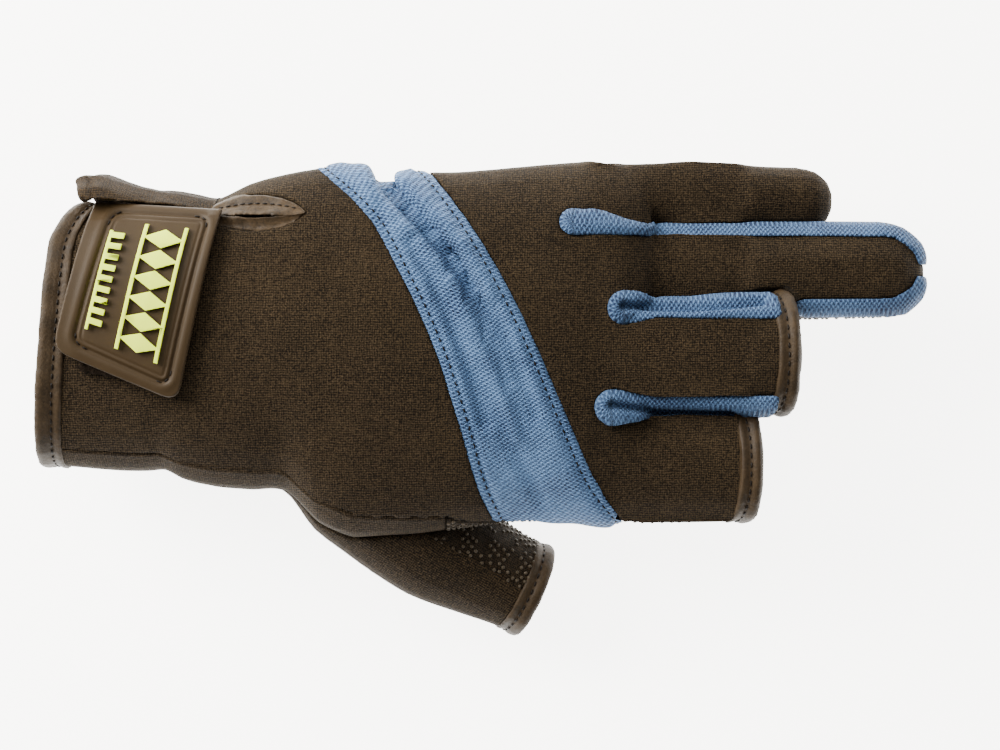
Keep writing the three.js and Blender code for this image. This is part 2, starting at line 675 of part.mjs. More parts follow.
// A solid as a named mesh of the glove.
const glove = new THREE.Group();
glove.name = "fishing_glove";
function addPiece(name, piece, material) {
  const largest = piece.decompose().reduce((a, b) => (a.volume() > b.volume() ? a : b));
  const { vertProperties, numProp, triVerts } = largest.getMesh();
  const positions = new Float32Array((vertProperties.length / numProp) * 3);
  for (let i = 0; i < positions.length / 3; i++) {
    positions.set(vertProperties.subarray(i * numProp, i * numProp + 3), i * 3);
  }
  const geometry = new THREE.BufferGeometry()
    .setAttribute("position", new THREE.BufferAttribute(positions, 3))
    .setIndex(new THREE.BufferAttribute(new Uint32Array(triVerts), 1));
  const mesh = new THREE.Mesh(geometry, material);
  mesh.name = name;
  glove.add(mesh);
}
const ringBinding = (name, tube, opening) => {
  addPiece(name, binding(tube(bindingRise), tube(-neoprene - bindingRise), opening), materials.binding);
};

addPiece("wrist_back_panel", wristBack, materials.neoprene);
addPiece("finger_back_panel", fingerBack, materials.neoprene);
addPiece("diagonal_band", band, materials.blueMesh);
gussets.forEach((g, i) => addPiece(g.name, gussetSolids[i], materials.blueMesh));
addPiece("palm_heel_panel", heel, materials.neoprene);
addPiece("palm_grip_panel", grip, materials.grip);
addPiece("thumb_panel", thumbPanel, materials.neoprene);
addPiece("thumb_grip_panel", thumbGrip, materials.grip);
ringBinding("cuff_binding", (grow) => body(grow, overrun), openings.cuff);
ringBinding("index_binding", (grow) => pressedTube(index, grow), openings.index);
ringBinding("middle_binding", (grow) => fingerTube(middle, grow), openings.middle);
ringBinding("thumb_binding", (grow) => thumbTube(grow, overrun), openings.thumb);
addPiece("vent_binding", ventBinding, materials.binding);
addPiece("closure_strap", strap, materials.neoprene);
addPiece("closure_patch", patch, materials.rubber);
addPiece("closure_pad", pad, materials.loop);
addPiece("patch_lozenges", marks(largeMarks), materials.lime);
addPiece("patch_blocks", marks(smallMarks), materials.lime);

export default glove;
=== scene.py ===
"""Dresses the frame of a three-finger fishing glove in knit cloth, mesh, tape, stitches and rubber."""

import math

import bmesh
import bpy
import numpy as np
from bpy.props import FloatProperty, FloatVectorProperty, PointerProperty
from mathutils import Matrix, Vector, noise
from mathutils.bvhtree import BVHTree
from mathutils.kdtree import KDTree


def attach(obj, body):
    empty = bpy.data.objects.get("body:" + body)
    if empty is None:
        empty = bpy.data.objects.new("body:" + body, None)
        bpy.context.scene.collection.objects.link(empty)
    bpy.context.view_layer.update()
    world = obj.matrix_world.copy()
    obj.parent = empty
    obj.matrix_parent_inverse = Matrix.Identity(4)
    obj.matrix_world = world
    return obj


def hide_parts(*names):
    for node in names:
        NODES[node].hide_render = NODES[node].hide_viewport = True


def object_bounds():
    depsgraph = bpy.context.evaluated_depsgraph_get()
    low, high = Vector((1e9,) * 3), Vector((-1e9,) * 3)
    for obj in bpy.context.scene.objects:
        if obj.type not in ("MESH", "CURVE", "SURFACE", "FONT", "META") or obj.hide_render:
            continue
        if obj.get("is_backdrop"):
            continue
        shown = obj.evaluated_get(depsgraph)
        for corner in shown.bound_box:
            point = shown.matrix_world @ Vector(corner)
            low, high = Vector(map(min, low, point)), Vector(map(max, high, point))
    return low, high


bl_info = {
    "name": "Fishing Glove",
    "version": (1, 0, 0),
    "blender": (4, 5, 0),
    "location": "View3D > Sidebar > Glove",
    "description": "Builds the cloth, tape, stitches and rubber of a fishing glove on its frame",
    "category": "Object",
}

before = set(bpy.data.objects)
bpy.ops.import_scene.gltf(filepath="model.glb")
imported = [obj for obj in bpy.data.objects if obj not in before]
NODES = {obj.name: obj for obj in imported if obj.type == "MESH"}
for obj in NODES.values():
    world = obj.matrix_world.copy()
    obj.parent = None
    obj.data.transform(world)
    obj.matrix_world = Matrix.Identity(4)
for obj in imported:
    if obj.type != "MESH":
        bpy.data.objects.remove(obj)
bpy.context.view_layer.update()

# A millimetre in metres, and the bend from which an edge counts as sharp.
MM = 0.001
SHARP = math.radians(40)

# The palm's sizes in millimetres, from the cuff to the fingers' roots, across and through.
PALM_LENGTH = 158.0
PALM_WIDTH = 95.8
PALM_DEPTH = 41.0

# Edges of the diagonal band: places across the glove, and how far along it the near and the far edge lie.
BAND_EDGES = np.array([
    [-61.3, 120.1, 156.4],
    [-52.7, 117.6, 152.0],
    [-42.15, 112.8, 143.8],
    [-24.9, 107.8, 135.7],
    [-4.8, 101.3, 127.0],
    [15.3, 92.0, 116.9],
    [30.65, 83.0, 107.3],
    [43.6, 68.7, 96.7],
    [57.5, 53.7, 79.0],
])

# Openings: where each one's middle is, which way it faces, and how far it reaches from its middle.
OPENINGS = {
    "cuff_binding": {"at": (0, 0, 0), "out": (-0.9969, 0.0785, 0), "reach": 60, "inset": 4.0},
    "index_binding": {"at": (183.4, -35, 0), "out": (0.966, 0, -0.259), "reach": 30, "inset": 3.2},
    "middle_binding": {"at": (192.4, -6.1, 5.3), "out": (0.966, 0, -0.259), "reach": 30, "inset": 3.2},
    "thumb_binding": {"at": (127, -71.3, -18.9), "out": (0.893, -0.417, -0.174), "reach": 28, "inset": 3.2},
}


class Signal:
    """A shader socket that takes part in sums and products."""

    def __init__(self, board, socket):
        self.board = board
        self.socket = socket

    def _math(self, operation, first, second=None):
        inputs = {0: first} if second is None else {0: first, 1: second}
        return self.board.add("ShaderNodeMath", {"operation": operation}, inputs)

    def __add__(self, other):
        return self._math("ADD", self, other)

    def __radd__(self, other):
        return self._math("ADD", other, self)

    def __sub__(self, other):
        return self._math("SUBTRACT", self, other)

    def __rsub__(self, other):
        return self._math("SUBTRACT", other, self)

    def __mul__(self, other):
        return self._math("MULTIPLY", self, other)

    def __rmul__(self, other):
        return self._math("MULTIPLY", other, self)

    def sine(self):
        return self._math("SINE", self)

    def cosine(self):
        return self._math("COSINE", self)


class Board:
    """One material's node tree."""

    def __init__(self, name):
        self.material = bpy.data.materials.new(name)
        self.material.use_nodes = True
        self.tree = self.material.node_tree
        self.shader = self.tree.nodes["Principled BSDF"]

    def add(self, kind, settings=None, inputs=None, output=0):
        """One node of the tree: settings first, then what feeds it. Several outputs come back as a list."""
        node = self.tree.nodes.new(kind)
        for key, value in (settings or {}).items():
            setattr(node, key, value)
        self.feed(node, inputs or {})
        if isinstance(output, tuple):
            return [Signal(self, node.outputs[key]) for key in output]
        return Signal(self, node.outputs[output])

    def feed(self, node, inputs):
        for key, value in inputs.items():
            if isinstance(value, Signal):
                self.tree.links.new(value.socket, node.inputs[key])
            elif hasattr(value, "__len__") and node.inputs[key].type == "RGBA":
                node.inputs[key].default_value = (*tuple(value)[:3], 1)
            else:
                node.inputs[key].default_value = value

    def place(self):
        """The piece's own coordinates, in millimetres."""
        where = self.add("ShaderNodeTexCoord", output="Object")
        return self.add("ShaderNodeVectorMath", {"operation": "SCALE"}, {0: where, "Scale": 1000})

    def cloth(self):
        """The cloth's own flat coordinates in millimetres: along it and across it."""
        flat = self.add("ShaderNodeUVMap", {"uv_map": "cloth"})
        flat = self.add("ShaderNodeVectorMath", {"operation": "SCALE"}, {0: flat, "Scale": 1000})
        return self.add("ShaderNodeSeparateXYZ", None, {0: flat}, (0, 1))

    def noise(self, where, scale, detail=3.0, roughness=0.5):
        inputs = {"Vector": where, "Scale": scale, "Detail": detail, "Roughness": roughness}
        return self.add("ShaderNodeTexNoise", None, inputs, "Fac")

    def blend(self, factor, first, second):
        inputs = {0: factor, 6: first, 7: second}
        return self.add("ShaderNodeMix", {"data_type": "RGBA"}, inputs, 2)

    def bump(self, height, depth, strength=1.0):
        inputs = {"Height": height, "Distance": depth * MM, "Strength": strength}
        return self.add("ShaderNodeBump", None, inputs, "Normal")

    def finish(self, **inputs):
        named = {key.replace("_", " "): value for key, value in inputs.items()}
        self.feed(self.shader, named)
        return self.material


def knit_material(name, dark, light, rib, roughness):
    """Fine jersey over neoprene: ribs along the glove, crossed by stitches, with light fibre tips."""
    board = Board(name)
    where = board.place()
    wobble = board.noise(where, 0.14, 2.0) - 0.5
    along, across = (flat + wobble * 1.2 for flat in board.cloth())
    ribs = (across * (2 * math.pi / rib)).cosine() * 0.5 + 0.5
    loops = (along * (2 * math.pi / rib)).cosine() * 0.5 + 0.5
    fibre = board.noise(where, 2.2, 3.0, 0.7) - 0.5
    bloom = board.noise(where, 0.04, 3.0, 0.55) - 0.5
    blotches = board.noise(where, 0.3, 4.0, 0.6) - 0.5
    weave = ribs * 0.3 + loops * 0.2 + fibre * 2.2
    tone = weave * 1.3 + bloom * 0.35 + blotches * 0.22
    color = board.blend(tone, dark, light)
    normal = board.bump(weave, 0.14)
    inputs = {"Specular_IOR_Level": 0.07, "Sheen_Weight": 0.01, "Sheen_Roughness": 0.5}
    return board.finish(Base_Color=color, Roughness=roughness, Normal=normal, **inputs)


def mesh_material(name, dark, light, pitch):
    """Open knit mesh: staggered loops with small dark holes between them."""
    board = Board(name)
    where = board.place()
    wobble = board.noise(where, 0.5, 2.0) - 0.5
    u, v = (flat + wobble * 0.5 for flat in board.cloth())
    turn = 2 * math.pi / pitch
    holes = (u * turn).cosine() * (v * (turn / 1.35)).cosine() * 0.5 + 0.5
    strand = (u * (turn * 2) + (v * (turn / 1.35)).sine() * 1.2).cosine() * 0.5 + 0.5
    fibre = board.noise(where, 2.6, 3.0, 0.7) - 0.5
    fade = board.noise(where, 0.09, 3.0) - 0.5
    weave = holes * 0.9 + strand * 0.25 + fibre * 1.1
    tone = weave * 1.15 + fade * 0.7 - 0.14
    color = board.blend(tone, dark, light)
    normal = board.bump(weave, 0.45)
    inputs = {"Specular_IOR_Level": 0.2, "Sheen_Weight": 0.03, "Sheen_Roughness": 0.4}
    return board.finish(Base_Color=color, Roughness=0.7, Normal=normal, **inputs)


def tape_material(name, dark, light):
    """Smooth folded tape with a fine lengthwise grain and soft patches of painted highlight, which also raise
    and roughen it.
    """
    board = Board(name)
    where = board.place()
    grain = board.noise(where, 1.6, 3.0, 0.6)
    blotches = board.noise(where, 0.22, 3.0)
    # The blotches draw the colour towards the light one: painted highlights in patches over the tape.
    color = board.blend(grain * 1.2 + blotches * 1.4 - 0.85, dark, light)
    normal = board.bump(grain + blotches, 0.14)
    roughness = blotches * 0.25 + 0.42
    return board.finish(Base_Color=color, Roughness=roughness, Normal=normal, Specular_IOR_Level=0.16)


def rubber_material(name, dark, light, grain_depth, roughness):
    """Moulded soft rubber with a very fine grain and faint bloom."""
    board = Board(name)
    where = board.place()
    grain = board.noise(where, 5.0, 2.0, 0.5)
    bloom = board.noise(where, 0.12, 4.0, 0.6)
    color = board.blend(bloom * 0.8 + grain * 0.25 - 0.05, dark, light)
    normal = board.bump(grain, grain_depth)
    roughness = bloom * 0.2 + roughness
    return board.finish(Base_Color=color, Roughness=roughness, Normal=normal, Specular_IOR_Level=0.14)


def pile_material(name, dark, light):
    """Fuzzy loop pile."""
    board = Board(name)
    where = board.place()
    tuft = board.noise(where, 1.8, 4.0, 0.7)
    color = board.blend(tuft, dark, light)
    normal = board.bump(tuft, 0.5)
    return board.finish(Base_Color=color, Roughness=0.95, Normal=normal, Specular_IOR_Level=0.05)


def floor_material(name, tint):
    """A plain pale floor with a little light of its own, as a studio's lit table has."""
    board = Board(name)
    where = board.place()
    cloud = board.noise(where, 0.004, 2.0)
    color = board.blend(cloud, tint, tuple(c * 0.985 for c in tint))
    normal = board.bump(board.noise(where, 0.6), 0.02)
    glow = {"Emission_Color": color, "Emission_Strength": 6.5}
    return board.finish(Base_Color=color, Roughness=0.6, Normal=normal, **glow)


# Sections of the hand in millimetres: the place along it, the half widths to the little finger's and to the
# thumb's side, the half heights to the back and to the palm, and how far the little finger's side hangs down.
BODY_ROWS = np.array([
    [-9.48, 32.86, 34.58, 19.89, 19.89, 0.00],
    [11.06, 33.15, 36.79, 20.50, 19.89, 0.00],
    [25.28, 33.63, 37.36, 20.91, 19.89, 0.00],
    [29.23, 33.82, 37.17, 20.99, 19.89, 0.00],
    [33.97, 33.91, 39.47, 21.03, 19.89, 0.00],
    [42.66, 34.30, 41.39, 21.07, 19.68, 0.00],
    [52.14, 38.80, 42.06, 21.12, 19.48, 0.41],
    [61.94, 41.29, 42.73, 21.20, 19.48, 0.41],
    [69.99, 42.73, 50.77, 21.20, 19.68, 0.82],
    [79.00, 42.44, 54.70, 20.91, 19.89, 1.23],
    [83.74, 41.77, 54.61, 20.83, 19.89, 1.23],
    [88.01, 39.47, 54.32, 20.71, 19.89, 1.64],
    [92.75, 41.00, 54.03, 20.50, 19.89, 1.64],
    [107.44, 42.15, 52.21, 19.89, 18.86, 2.46],
    [121.66, 43.49, 50.49, 18.86, 17.22, 3.28],
    [137.46, 44.64, 50.77, 17.22, 15.17, 4.10],
    [150.10, 44.74, 50.77, 14.76, 13.12, 4.92],
    [155.63, 42.15, 47.90, 11.48, 10.66, 4.92],
    [158.00, 38.32, 43.11, 7.79, 7.79, 4.10],
])

# How square the hand's and the fingers' sections are: 2 is round.
BODY_SQUARENESS = 2.4
FINGER_SQUARENESS = 2.1

# The fingers: length past the palm and width, where the middle lies across and up, all in millimetres; the
# others are shares of the width. A flared one widens towards its opening.
FINGERS = (
    {
        "length": 49.0, "width": 17.4, "across": 36.42, "height": -5.74,
        "deep": 0.98, "bend": -0.1, "dip": -0.13, "closed": True, "flare": 0.0,
    },
    {
        "length": 72.6, "width": 24.4, "across": 15.52, "height": -3.28,
        "deep": 0.92, "bend": 0.0, "dip": -0.03, "closed": True, "flare": 0.0,
    },
    {
        "length": 34.4, "width": 27.5, "across": -6.44, "height": 5.33,
        "deep": 0.84, "bend": 0.01, "dip": 0.03, "closed": False, "flare": 0.19,
    },
    {
        "length": 25.4, "width": 30.8, "across": -35.28, "height": 0.0,
        "deep": 0.78, "bend": 0.0, "dip": 0.0, "closed": False, "flare": 0.0,
    },
)

# Sections of a finger: the place along as a share of its loft, then its breadth and depth as shares.
FINGER_ROWS = np.array([
    [0.00, 0.74, 0.70],
    [0.14, 0.92, 0.88],
    [0.32, 1.00, 0.98],
    [0.60, 1.00, 1.00],
    [1.00, 0.97, 0.97],
])
FINGER_START = 136.0

# Past its opening an open finger's loft narrows: where that starts, over what length, and by how much.
TAPER_START = 1.53
TAPER_REACH = 9.47
TAPER_DEPTH = 8.0

# Sections of the thumb: the places along and aside are shares of its length, then its breadth and depth.
THUMB_ROWS = np.array([
    [0.00, 0.000, 0.98, 0.95],
    [0.23, 0.012, 0.98, 0.98],
    [0.34, 0.008, 1.31, 1.10],
    [0.45, 0.009, 1.43, 1.16],
    [0.56, -0.002, 1.44, 1.17],
    [0.67, -0.012, 1.38, 1.12],
    [0.84, -0.015, 1.14, 1.00],
    [1.00, 0.000, 1.02, 0.95],
])

# The middle of the thumb's opening, the ways along and across the thumb, its length and its half width.
THUMB_END = np.array([127.03, -71.09, -18.86])
THUMB_ALONG = np.array([0.844, -0.507, -0.174])
THUMB_SIDE = np.array([0.515, 0.857, 0.0])
THUMB_LENGTH = 92.0
THUMB_HALF = 12.0

# The band's dents: share across it, spread, depth, and how far each shows at the top and at the foot.
BAND_FOLDS = (
    (0.56, 0.13, 0.06, 1, 0.15),
    (0.27, 0.12, 0.022, 0.1, 0.8),
    (0.24, 0.17, -0.03, 1, 0),
    (0.84, 0.12, -0.026, 1, 0.4),
)


def smooth_table(rows, places):
    """A table's columns read smoothly at many places along its first column."""
    keys = rows[:, 0]
    values = rows[:, 1:]
    steps = np.diff(keys)[:, None]
    rises = np.diff(values, axis=0) / steps
    slopes = np.zeros_like(values)
    slopes[1:-1] = (rises[:-1] * steps[1:] + rises[1:] * steps[:-1]) / (steps[1:] + steps[:-1])
    slopes[0], slopes[-1] = rises[0], rises[-1]
    places = np.clip(places, keys[0], keys[-1])
    spot = np.clip(np.searchsorted(keys, places, side="right") - 1, 0, len(keys) - 2)
    gap = (keys[spot + 1] - keys[spot])[:, None]
    t = ((places - keys[spot])[:, None]) / gap
    first, last = values[spot], values[spot + 1]
    return (
        first * (2 * t**3 - 3 * t**2 + 1)
        + slopes[spot] * gap * (t**3 - 2 * t**2 + t)
        + last * (3 * t**2 - 2 * t**3)
        + slopes[spot + 1] * gap * (t**3 - t**2)
    )


def bell(away, spread):
    """A smooth hump: 1 where away is 0, and next to nothing at twice the spread."""
    return np.exp(-((away / spread) ** 2))


def ramp(places, start, reach):
    """0 up to the start, then evenly up to 1 over the reach."""
    return np.clip((places - start) / reach, 0, 1)


def ease(share):
    """A share from 0 to 1 with a gentle start and stop."""
    return share * share * (3 - 2 * share)


def power(value, squareness):
    """A cosine or sine drawn towards the corners of a square."""
    return np.sign(value) * np.abs(value) ** (2 / squareness)


def body_grid(places, angles, sunk=None):
    """The hand's surface as rings of points; sunk pushes it in by a depth at each X and Y."""
    rows = smooth_table(BODY_ROWS, places)[:, None, :]
    c = power(np.cos(angles), BODY_SQUARENESS)[None, :]
    s = power(np.sin(angles), BODY_SQUARENESS)[None, :]
    grow = 0
    for _ in range(2 if sunk else 1):
        y = c * (np.where(c > 0, rows[..., 0], rows[..., 1]) + grow)
        z = s * (np.where(s > 0, rows[..., 2], rows[..., 3]) + grow) - rows[..., 4] * np.maximum(c, 0) ** 2
        x = np.broadcast_to(places[:, None], y.shape)
        if sunk:
            grow = -sunk(x, y)
    return np.stack([x, y, z], -1)


def finger_grid(finger, places, angles):
    """A finger's surface as rings of points."""
    end = PALM_LENGTH + finger["length"]
    closed, flare = finger["closed"], finger["flare"]
    round_end = finger["width"] * 0.52 if closed else 0
    share = np.minimum((places - FINGER_START) / (end - FINGER_START), 1)
    values = smooth_table(FINGER_ROWS, share)
    bend = share**2
    wide = finger["width"] / 2 * values[:, 0] * (1 + flare * np.maximum(0, (share - 0.55) / 0.45))
    deep = finger["width"] * finger["deep"] / 2 * values[:, 1]
    if closed:
        turn = np.clip((places - (end - round_end)) / round_end, 0, 0.9999)
        shrink = np.where(turn > 0, np.cos(np.arcsin(turn)) ** 0.85, 1)
        wide = wide * shrink
        deep = deep * shrink
    y = finger["across"] + finger["bend"] * finger["width"] * bend
    z = finger["height"] + finger["dip"] * finger["width"] * bend
    if not closed:
        taper = ramp(places - end, TAPER_START, TAPER_REACH) * TAPER_DEPTH
        wide = wide - taper
        deep = deep - taper
    grid_y = y[:, None] + power(np.cos(angles), FINGER_SQUARENESS)[None, :] * wide[:, None]
    grid_z = z[:, None] + power(np.sin(angles), FINGER_SQUARENESS)[None, :] * deep[:, None]
    return np.stack([np.broadcast_to(places[:, None], grid_y.shape), grid_y, grid_z], -1)


def thumb_grid(places, angles):
    """The thumb's tube as rings; it runs on straight past its opening, at a place of 1."""
    rows = smooth_table(THUMB_ROWS, places)
    up = np.cross(THUMB_ALONG, THUMB_SIDE)
    centre = THUMB_END + (places - 1)[:, None] * THUMB_LENGTH * THUMB_ALONG
    centre = centre + rows[:, :1] * THUMB_LENGTH * THUMB_SIDE
    return (
        centre[:, None, :]
        + (np.cos(angles)[None, :] * rows[:, 1:2] * THUMB_HALF)[..., None] * THUMB_SIDE
        + (np.sin(angles)[None, :] * rows[:, 2:3] * THUMB_HALF)[..., None] * up
    )


def band_line(across):
    """The diagonal band's two edges, in millimetres along the glove, at places across it."""
    found = smooth_table(BAND_EDGES, np.ravel(across))
    return found[:, 0].reshape(np.shape(across)), found[:, 1].reshape(np.shape(across))


def band_dent(x, y):
    near, far = band_line(y)
    share = (x - near) / (far - near)
    climb = np.clip(y / PALM_WIDTH + 0.5, 0, 1)
    total = 0
    for at, spread, depth, top, foot in BAND_FOLDS:
        left = foot + (top - foot) * climb
        total = total + depth * PALM_DEPTH * left * bell(share - at, spread)
    return total


def grid_surface(grids):
    """A tree of surface triangles, from grids of points whose rows close round."""
    points, faces, base = [], [], 0
    for grid in grids:
        rows, sides = grid.shape[:2]
        index = base + np.arange(rows * sides).reshape(rows, sides)
        a, b = index[:-1], np.roll(index[:-1], -1, 1)
        c, d = np.roll(index[1:], -1, 1), index[1:]
        faces.append(np.stack([a, b, c, d], -1).reshape(-1, 4))
        points.append(grid.reshape(-1, 3))
        base += rows * sides
    return BVHTree.FromPolygons(np.concatenate(points).tolist(), np.concatenate(faces).tolist())


def smooth_surfaces():
    """The hand with its fingers and thumb, and the hand as the band dents it, as fine smooth surfaces."""
    round_body = np.linspace(0, 2 * np.pi, 145)[:-1]
    round_finger = np.linspace(0, 2 * np.pi, 65)[:-1]
    grids = [body_grid(np.linspace(-9, 157.5, 200), round_body)]
    for finger in FINGERS:
        end = PALM_LENGTH + finger["length"]
        places = np.linspace(FINGER_START, end - 0.3 if finger["closed"] else end + 5, 90)
        grids.append(finger_grid(finger, places, round_finger))
    grids.append(thumb_grid(np.linspace(0, 1.08, 90), round_finger))
    band = body_grid(np.linspace(57, 155, 160), round_body, band_dent)
    return grid_surface(grids), grid_surface([band])


def piece_from(name, points, faces):
    """A new mesh piece from points in millimetres."""
    mesh = bpy.data.meshes.new(name)
    mesh.from_pydata((np.asarray(points, float) * MM).tolist(), [], faces)
    mesh.update()
    piece = bpy.data.objects.new(name, mesh)
    bpy.context.scene.collection.objects.link(piece)
    return piece


def only(piece):
    """Selects one piece alone and makes it the active one."""
    bpy.ops.object.select_all(action="DESELECT")
    piece.select_set(True)
    bpy.context.view_layer.objects.active = piece


def node_copy(node, name):
    """A copy of one CAD node with its loose triangles joined."""
    piece = bpy.data.objects.new(name, NODES[node].data.copy())
    piece.data.name = name
    piece.data.materials.clear()
    bpy.context.scene.collection.objects.link(piece)
    work = bmesh.new()
    work.from_mesh(piece.data)
    bmesh.ops.remove_doubles(work, verts=work.verts, dist=2e-6)
    bmesh.ops.recalc_face_normals(work, faces=work.faces)
    work.to_mesh(piece.data)
    work.free()
    return piece


def bevel_sharp(piece, size, segments):
    """Bevels a piece's sharp edges; size is in millimetres."""
    only(piece)
    bpy.ops.object.mode_set(mode="EDIT")
    bpy.ops.mesh.select_mode(type="EDGE")
    bpy.ops.mesh.select_all(action="DESELECT")
    bpy.ops.mesh.edges_select_sharp(sharpness=SHARP)
    bpy.ops.mesh.bevel(offset=size * MM, segments=segments)
    bpy.ops.object.mode_set(mode="OBJECT")


def remesh(piece, size):
    """Remeshes a closed piece evenly; size is in millimetres."""
    only(piece)
    change = piece.modifiers.new("Even", "REMESH")
    change.mode = "VOXEL"
    change.voxel_size = size * MM
    bpy.ops.object.modifier_apply(modifier=change.name)


def coords(piece):
    """A piece's points in millimetres."""
    found = np.empty(len(piece.data.vertices) * 3)
    piece.data.vertices.foreach_get("co", found)
    return found.reshape(-1, 3) / MM


def normals(piece):
    found = np.empty(len(piece.data.vertices) * 3)
    piece.data.vertices.foreach_get("normal", found)
    return found.reshape(-1, 3)


def set_coords(piece, points):
    piece.data.vertices.foreach_set("co", (points * MM).ravel())
    piece.data.update()


def edge_pairs(piece):
    found = np.empty(len(piece.data.edges) * 2, int)
    piece.data.edges.foreach_get("vertices", found)
    return found.reshape(-1, 2)


def averaged(values, pairs, counts):
    """Each point's mean over its neighbours."""
    a, b = pairs.T
    total = np.stack(
        [
            np.bincount(a, values[b, k], len(values)) + np.bincount(b, values[a, k], len(values))
            for k in range(values.shape[1])
        ],
        -1,
    )
    return total / counts[:, None]


# Each round of smoothing is followed by a step the other way, of this share, so that nothing shrinks.
RESTORE = -0.52


def relax(values, pairs, rounds, back=0.0):
    """Smooths values over a mesh; back, below zero, restores what smoothing shrinks."""
    counts = np.maximum(np.bincount(pairs.ravel(), minlength=len(values)), 1)
    for _ in range(rounds):
        values = values + 0.5 * (averaged(values, pairs, counts) - values)
        if back:
            values = values + back * (averaged(values, pairs, counts) - values)
    return values


def smooth(piece, rounds, back=RESTORE):
    """Rounds a piece's own shape."""
    set_coords(piece, relax(coords(piece), edge_pairs(piece), rounds, back))


def tree_of(points, chosen):
    """A tree that finds the nearest of the chosen points."""
    tree = KDTree(len(chosen))
    for i in chosen.tolist():
        tree.insert(points[i], i)
    tree.balance()
    return tree


# How far a point of a wall's outer face may lie from the smooth surface, and over or under its place.
SETTLE_REACH = 1.1
SETTLE_DEPTH = 0.9


def settle(piece, surface, soften=8, rise=0.0):
    """Moves a remeshed wall so that its outer face lies on or a little over a smooth surface, then rounds it.
    The result is the way out of the glove at each point."""
    points, facing, pairs = coords(piece), normals(piece), edge_pairs(piece)
    moves = np.zeros_like(points)
    out = facing.copy()
    outer = np.zeros(len(points), bool)
    for i, (p, n) in enumerate(zip(points.tolist(), facing.tolist())):
        hit, normal, _, _ = surface.find_nearest(p, SETTLE_REACH + rise)
        if hit is None:
            continue
        over = (Vector(p) - hit).dot(Vector(n))
        if normal.dot(Vector(n)) ** 2 > 0.56 and abs(over - rise) < SETTLE_DEPTH:
            moves[i] = np.array(hit + Vector(n) * rise) - p
            outer[i] = True
    if outer.any():
        tree = tree_of(points, np.flatnonzero(outer))
        for i in np.flatnonzero(~outer).tolist():
            nearest = tree.find(points[i])[1]
            moves[i] = moves[nearest]
            out[i] = facing[nearest]
    moves = relax(moves, pairs, 12)
    out = relax(out, pairs, 6)
    points = relax(points + moves, pairs, soften, RESTORE)
    set_coords(piece, points)
    return out / np.maximum(np.linalg.norm(out, axis=1), 1e-6)[:, None]


def ripple(piece, out, depth, size, seed):
    """Soft unevenness of worn cloth; depth and size are in millimetres."""
    points = coords(piece)
    shift = np.array([
        noise.fractal(Vector(p), 1.0, 2.0, 2, noise_basis="PERLIN_NEW")
        for p in (points / size + seed * 7.3).tolist()
    ])
    set_coords(piece, points + out * shift[:, None] * depth)


def pinch(piece, out, folds):
    """Presses creases into a piece: each is a line of points in millimetres, a width and a depth."""
    points = coords(piece)
    push = np.zeros(len(points))
    for line, width, depth in folds:
        line = np.array(line, float)
        nearest = np.full(len(points), 1e9)
        fade = np.ones(len(points))
        total = np.linalg.norm(np.diff(line, axis=0), axis=1).sum()
        passed = 0
        for start, end in zip(line[:-1], line[1:]):
            span = end - start
            length = np.linalg.norm(span)
            t = np.clip((points - start) @ span / length**2, 0, 1)
            away = np.linalg.norm(points - start - t[:, None] * span, axis=1)
            closer = away < nearest
            nearest = np.where(closer, away, nearest)
            share = (passed + t * length) / total
            fade = np.where(closer, np.sin(np.pi * np.clip(share * 0.94 + 0.03, 0, 1)) ** 0.6, fade)
            passed += length
        push -= depth * fade * bell(nearest, width)
    set_coords(piece, points + out * push[:, None])


def even_top(piece, places, rounds):
    """Evens the heights of a wall's upper side between places along the glove, and leaves its plan alone."""
    points, facing, pairs = coords(piece), normals(piece), edge_pairs(piece)
    top = facing[:, 2] > 0.05
    kept = pairs[top[pairs[:, 0]] & top[pairs[:, 1]]]
    heights = points[:, 2:].copy()
    counts = np.bincount(kept.ravel(), minlength=len(points))
    held = counts == 0
    counts = np.maximum(counts, 1)
    for _ in range(rounds):
        fresh = heights + 0.5 * (averaged(heights, kept, counts) - heights)
        heights = np.where(held[:, None], heights, fresh)
    lift = (heights[:, 0] - points[:, 2]) * top
    plan = points * (1, 1, 0)
    tree = tree_of(plan, np.flatnonzero(top))
    for i in np.flatnonzero(~top & (points[:, 2] > -2)).tolist():
        lift[i] = lift[tree.find(plan[i])[1]]
    first, last = places
    share = np.clip(np.minimum(points[:, 0] - first, last - points[:, 0]) / 6, 0, 1)
    points[:, 2] += lift * ease(share)
    set_coords(piece, points)


# A wall's edge within this reach of the wall that it meets is drawn to it, less and less over the last part.
MEET_REACH = 1.6
MEET_FADE = 0.6


def meet(piece, other):
    """Draws a wall's edge over to the CAD piece that it's sewn to, which closes the seam between them."""
    neighbour = surface_of(NODES[other])
    points = coords(piece)
    for i, p in enumerate(points.tolist()):
        hit, _, _, away = neighbour.find_nearest(p, MEET_REACH)
        if hit is not None:
            points[i] += (np.array(hit) - p) * min(1.0, (MEET_REACH - away) / MEET_FADE)
    set_coords(piece, points)


def even_side(piece):
    """Blends the little finger's outer side into the hand's."""
    points = coords(piece)
    even = relax(points, edge_pairs(piece), 90)
    share = np.clip(1 - np.abs(points[:, 0] - 157) / 14, 0, 1) * ramp(points[:, 1], 34, 4)
    set_coords(piece, points + (even - points) * ease(share)[:, None])


def taper_strip(piece):
    """Narrows the blue strip's round end evenly into the strip between the little and the ring finger."""
    points = coords(piece)
    x, y, z = points.T
    along = ease(ramp(x, 140, 16)) * (1 - ease(ramp(x, 156.4, 2.4)))
    share = along * ramp(y, 25.6, 5.4) * (1 - ease(ramp(y, 31, 9))) * ramp(z, 0, 4)
    points[:, 1] -= STRIP_TAPER * share
    set_coords(piece, points)


